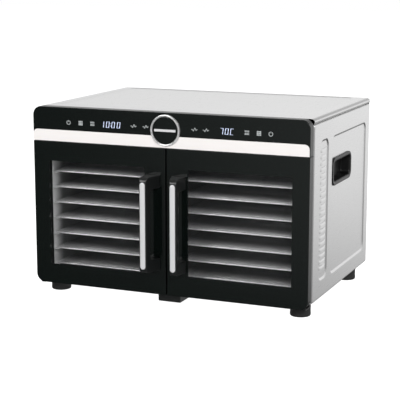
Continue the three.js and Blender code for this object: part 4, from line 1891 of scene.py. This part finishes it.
# ------------------------------------------------------------------ studio
@dataclass
class Studio:
    """Pale floor, soft lights and the camera."""

    paint: Paint
    yaw: float = 22.89
    pitch: float = 10.98
    lens: float = 114.3
    stand: Triple = (0.9619, -2.1151, 0.6346)
    floor_size: float = 12.0
    low_edge: Point = (-0.36, -0.14)
    low_shade: Point = (0.16, 0.95)
    high_edge: Point = (0.4, 0.85)
    high_shade: Point = (1.0, 0.45)
    front_edge: Point = (-0.45, 0.3)
    back_edge: Point = (0.45, 1.0)
    back_shade: Point = (0.5, 1.0)
    left_edge: Point = (-0.6, -0.15)
    left_shade: Point = (0.05, 0.9)
    flag_near: Point = (-0.3, 0.1)
    flag_far: Point = (0.35, 0.65)
    flag_shade: float = 0.38
    flag_rise: Point = (0.12, 0.38)

    def build(self) -> None:
        """Builds the studio."""
        self.camera()
        self.floor()
        self.lights()
        self.world()

    def camera(self) -> None:
        """Camera, placed from the middle of the doors' lower front edge."""
        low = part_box("door_glass_right")[0]
        data = bpy.data.cameras.new("Camera")
        data.lens = self.lens
        data.sensor_width = 36.0
        camera = in_scene("Camera", data)
        camera.location = Vector((0.0, low.y, low.z - 0.4 * MM)) + Vector(self.stand)
        camera.rotation_euler = (math.radians(90 - self.pitch), 0.0, math.radians(self.yaw))
        bpy.context.scene.camera = camera

    def floor(self) -> None:
        """Large pale floor just under the feet."""
        bm = bmesh.new()
        bmesh.ops.create_grid(bm, x_segments=4, y_segments=4, size=self.floor_size)
        mesh = mesh_of(bm, "floor")
        mesh.materials.append(self.paint.floor.material)
        floor = in_scene("floor", mesh)
        floor.visible_glossy = False

    def lights(self) -> None:
        """A broad light high behind, two high front lights and two side lights."""
        front, middle = (0.0, -0.1, 0.2), (0.0, 0.1, 0.2)
        for name, at, to, size, watts in (
            ("Top light", (0.0, 0.4, 2.8), middle, 1.6, 16.0),
            ("Front light left", (-1.3, -2.6, 1.7), front, 1.3, 38.0),
            ("Front light right", (1.9, -2.6, 1.9), front, 1.3, 56.0),
            ("Right light", (2.6, 0.8, 1.6), middle, 1.6, 16.0),
            ("Left light", (-2.6, 0.4, 1.6), middle, 1.6, 10.0),
        ):
            data = bpy.data.lights.new(name, "AREA")
            data.size = size
            data.energy = watts
            light = in_scene(name, data)
            light.location = at
            light.rotation_euler = (Vector(to) - Vector(at)).to_track_quat("-Z", "Y").to_euler()

    def world(self) -> None:
        """White surround for the camera; for reflections it has dark parts.

        It darkens below, in front, at the left, high up, and in a soft flag right of the middle.
        """
        world = bpy.data.worlds.new("Surround")
        bpy.context.scene.world = world
        world.use_nodes = True
        world.node_tree.nodes.clear()
        graph = Graph(world.node_tree)
        way = graph.axes(graph.node("ShaderNodeTexCoord").outputs["Generated"])
        shade = graph.ramp(way["Z"], self.low_edge, self.low_shade)
        across = graph.ramp(way["X"], self.left_edge, self.left_shade)
        near = graph.ramp(way["X"], self.flag_near, (1.0, self.flag_shade))
        far = graph.ramp(way["X"], self.flag_far, (near, 1.0))
        for axis, edge, ends in (
            ("Z", self.high_edge, self.high_shade),
            ("Y", self.front_edge, (across, 1.0)),
            ("Y", self.back_edge, self.back_shade),
            ("Z", self.flag_rise, (1.0, far)),
        ):
            shade = graph.math("MULTIPLY", shade, graph.ramp(way[axis], edge, ends))
        seen = graph.node("ShaderNodeBackground", {"Color": (1.0, 1.0, 1.0, 1.0)}).outputs[0]
        other = graph.node("ShaderNodeBackground", {"Color": shade}).outputs[0]
        path = graph.node("ShaderNodeLightPath").outputs["Is Camera Ray"]
        mixed = graph.node("ShaderNodeMixShader", {0: path, 1: other, 2: seen}).outputs[0]
        graph.node("ShaderNodeOutputWorld", {"Surface": mixed})
        bpy.context.scene.view_settings.view_transform = "Standard"


def main() -> None:
    """Builds every sub-assembly, then the studio."""
    logging.basicConfig(level=logging.INFO, format="%(message)s", stream=sys.stdout)
    shop = Shop(Paint(), Tools())
    for assembly in (
        SteelShell(shop),
        TouchPanel(shop),
        Door(shop, Side.LEFT),
        Door(shop, Side.RIGHT),
        Chambers(shop),
        Fittings(shop),
    ):
        LOG.info("building %s", type(assembly).__name__)
        assembly.build()
    Studio(shop.paint).build()


if __name__ == "__main__":
    main()
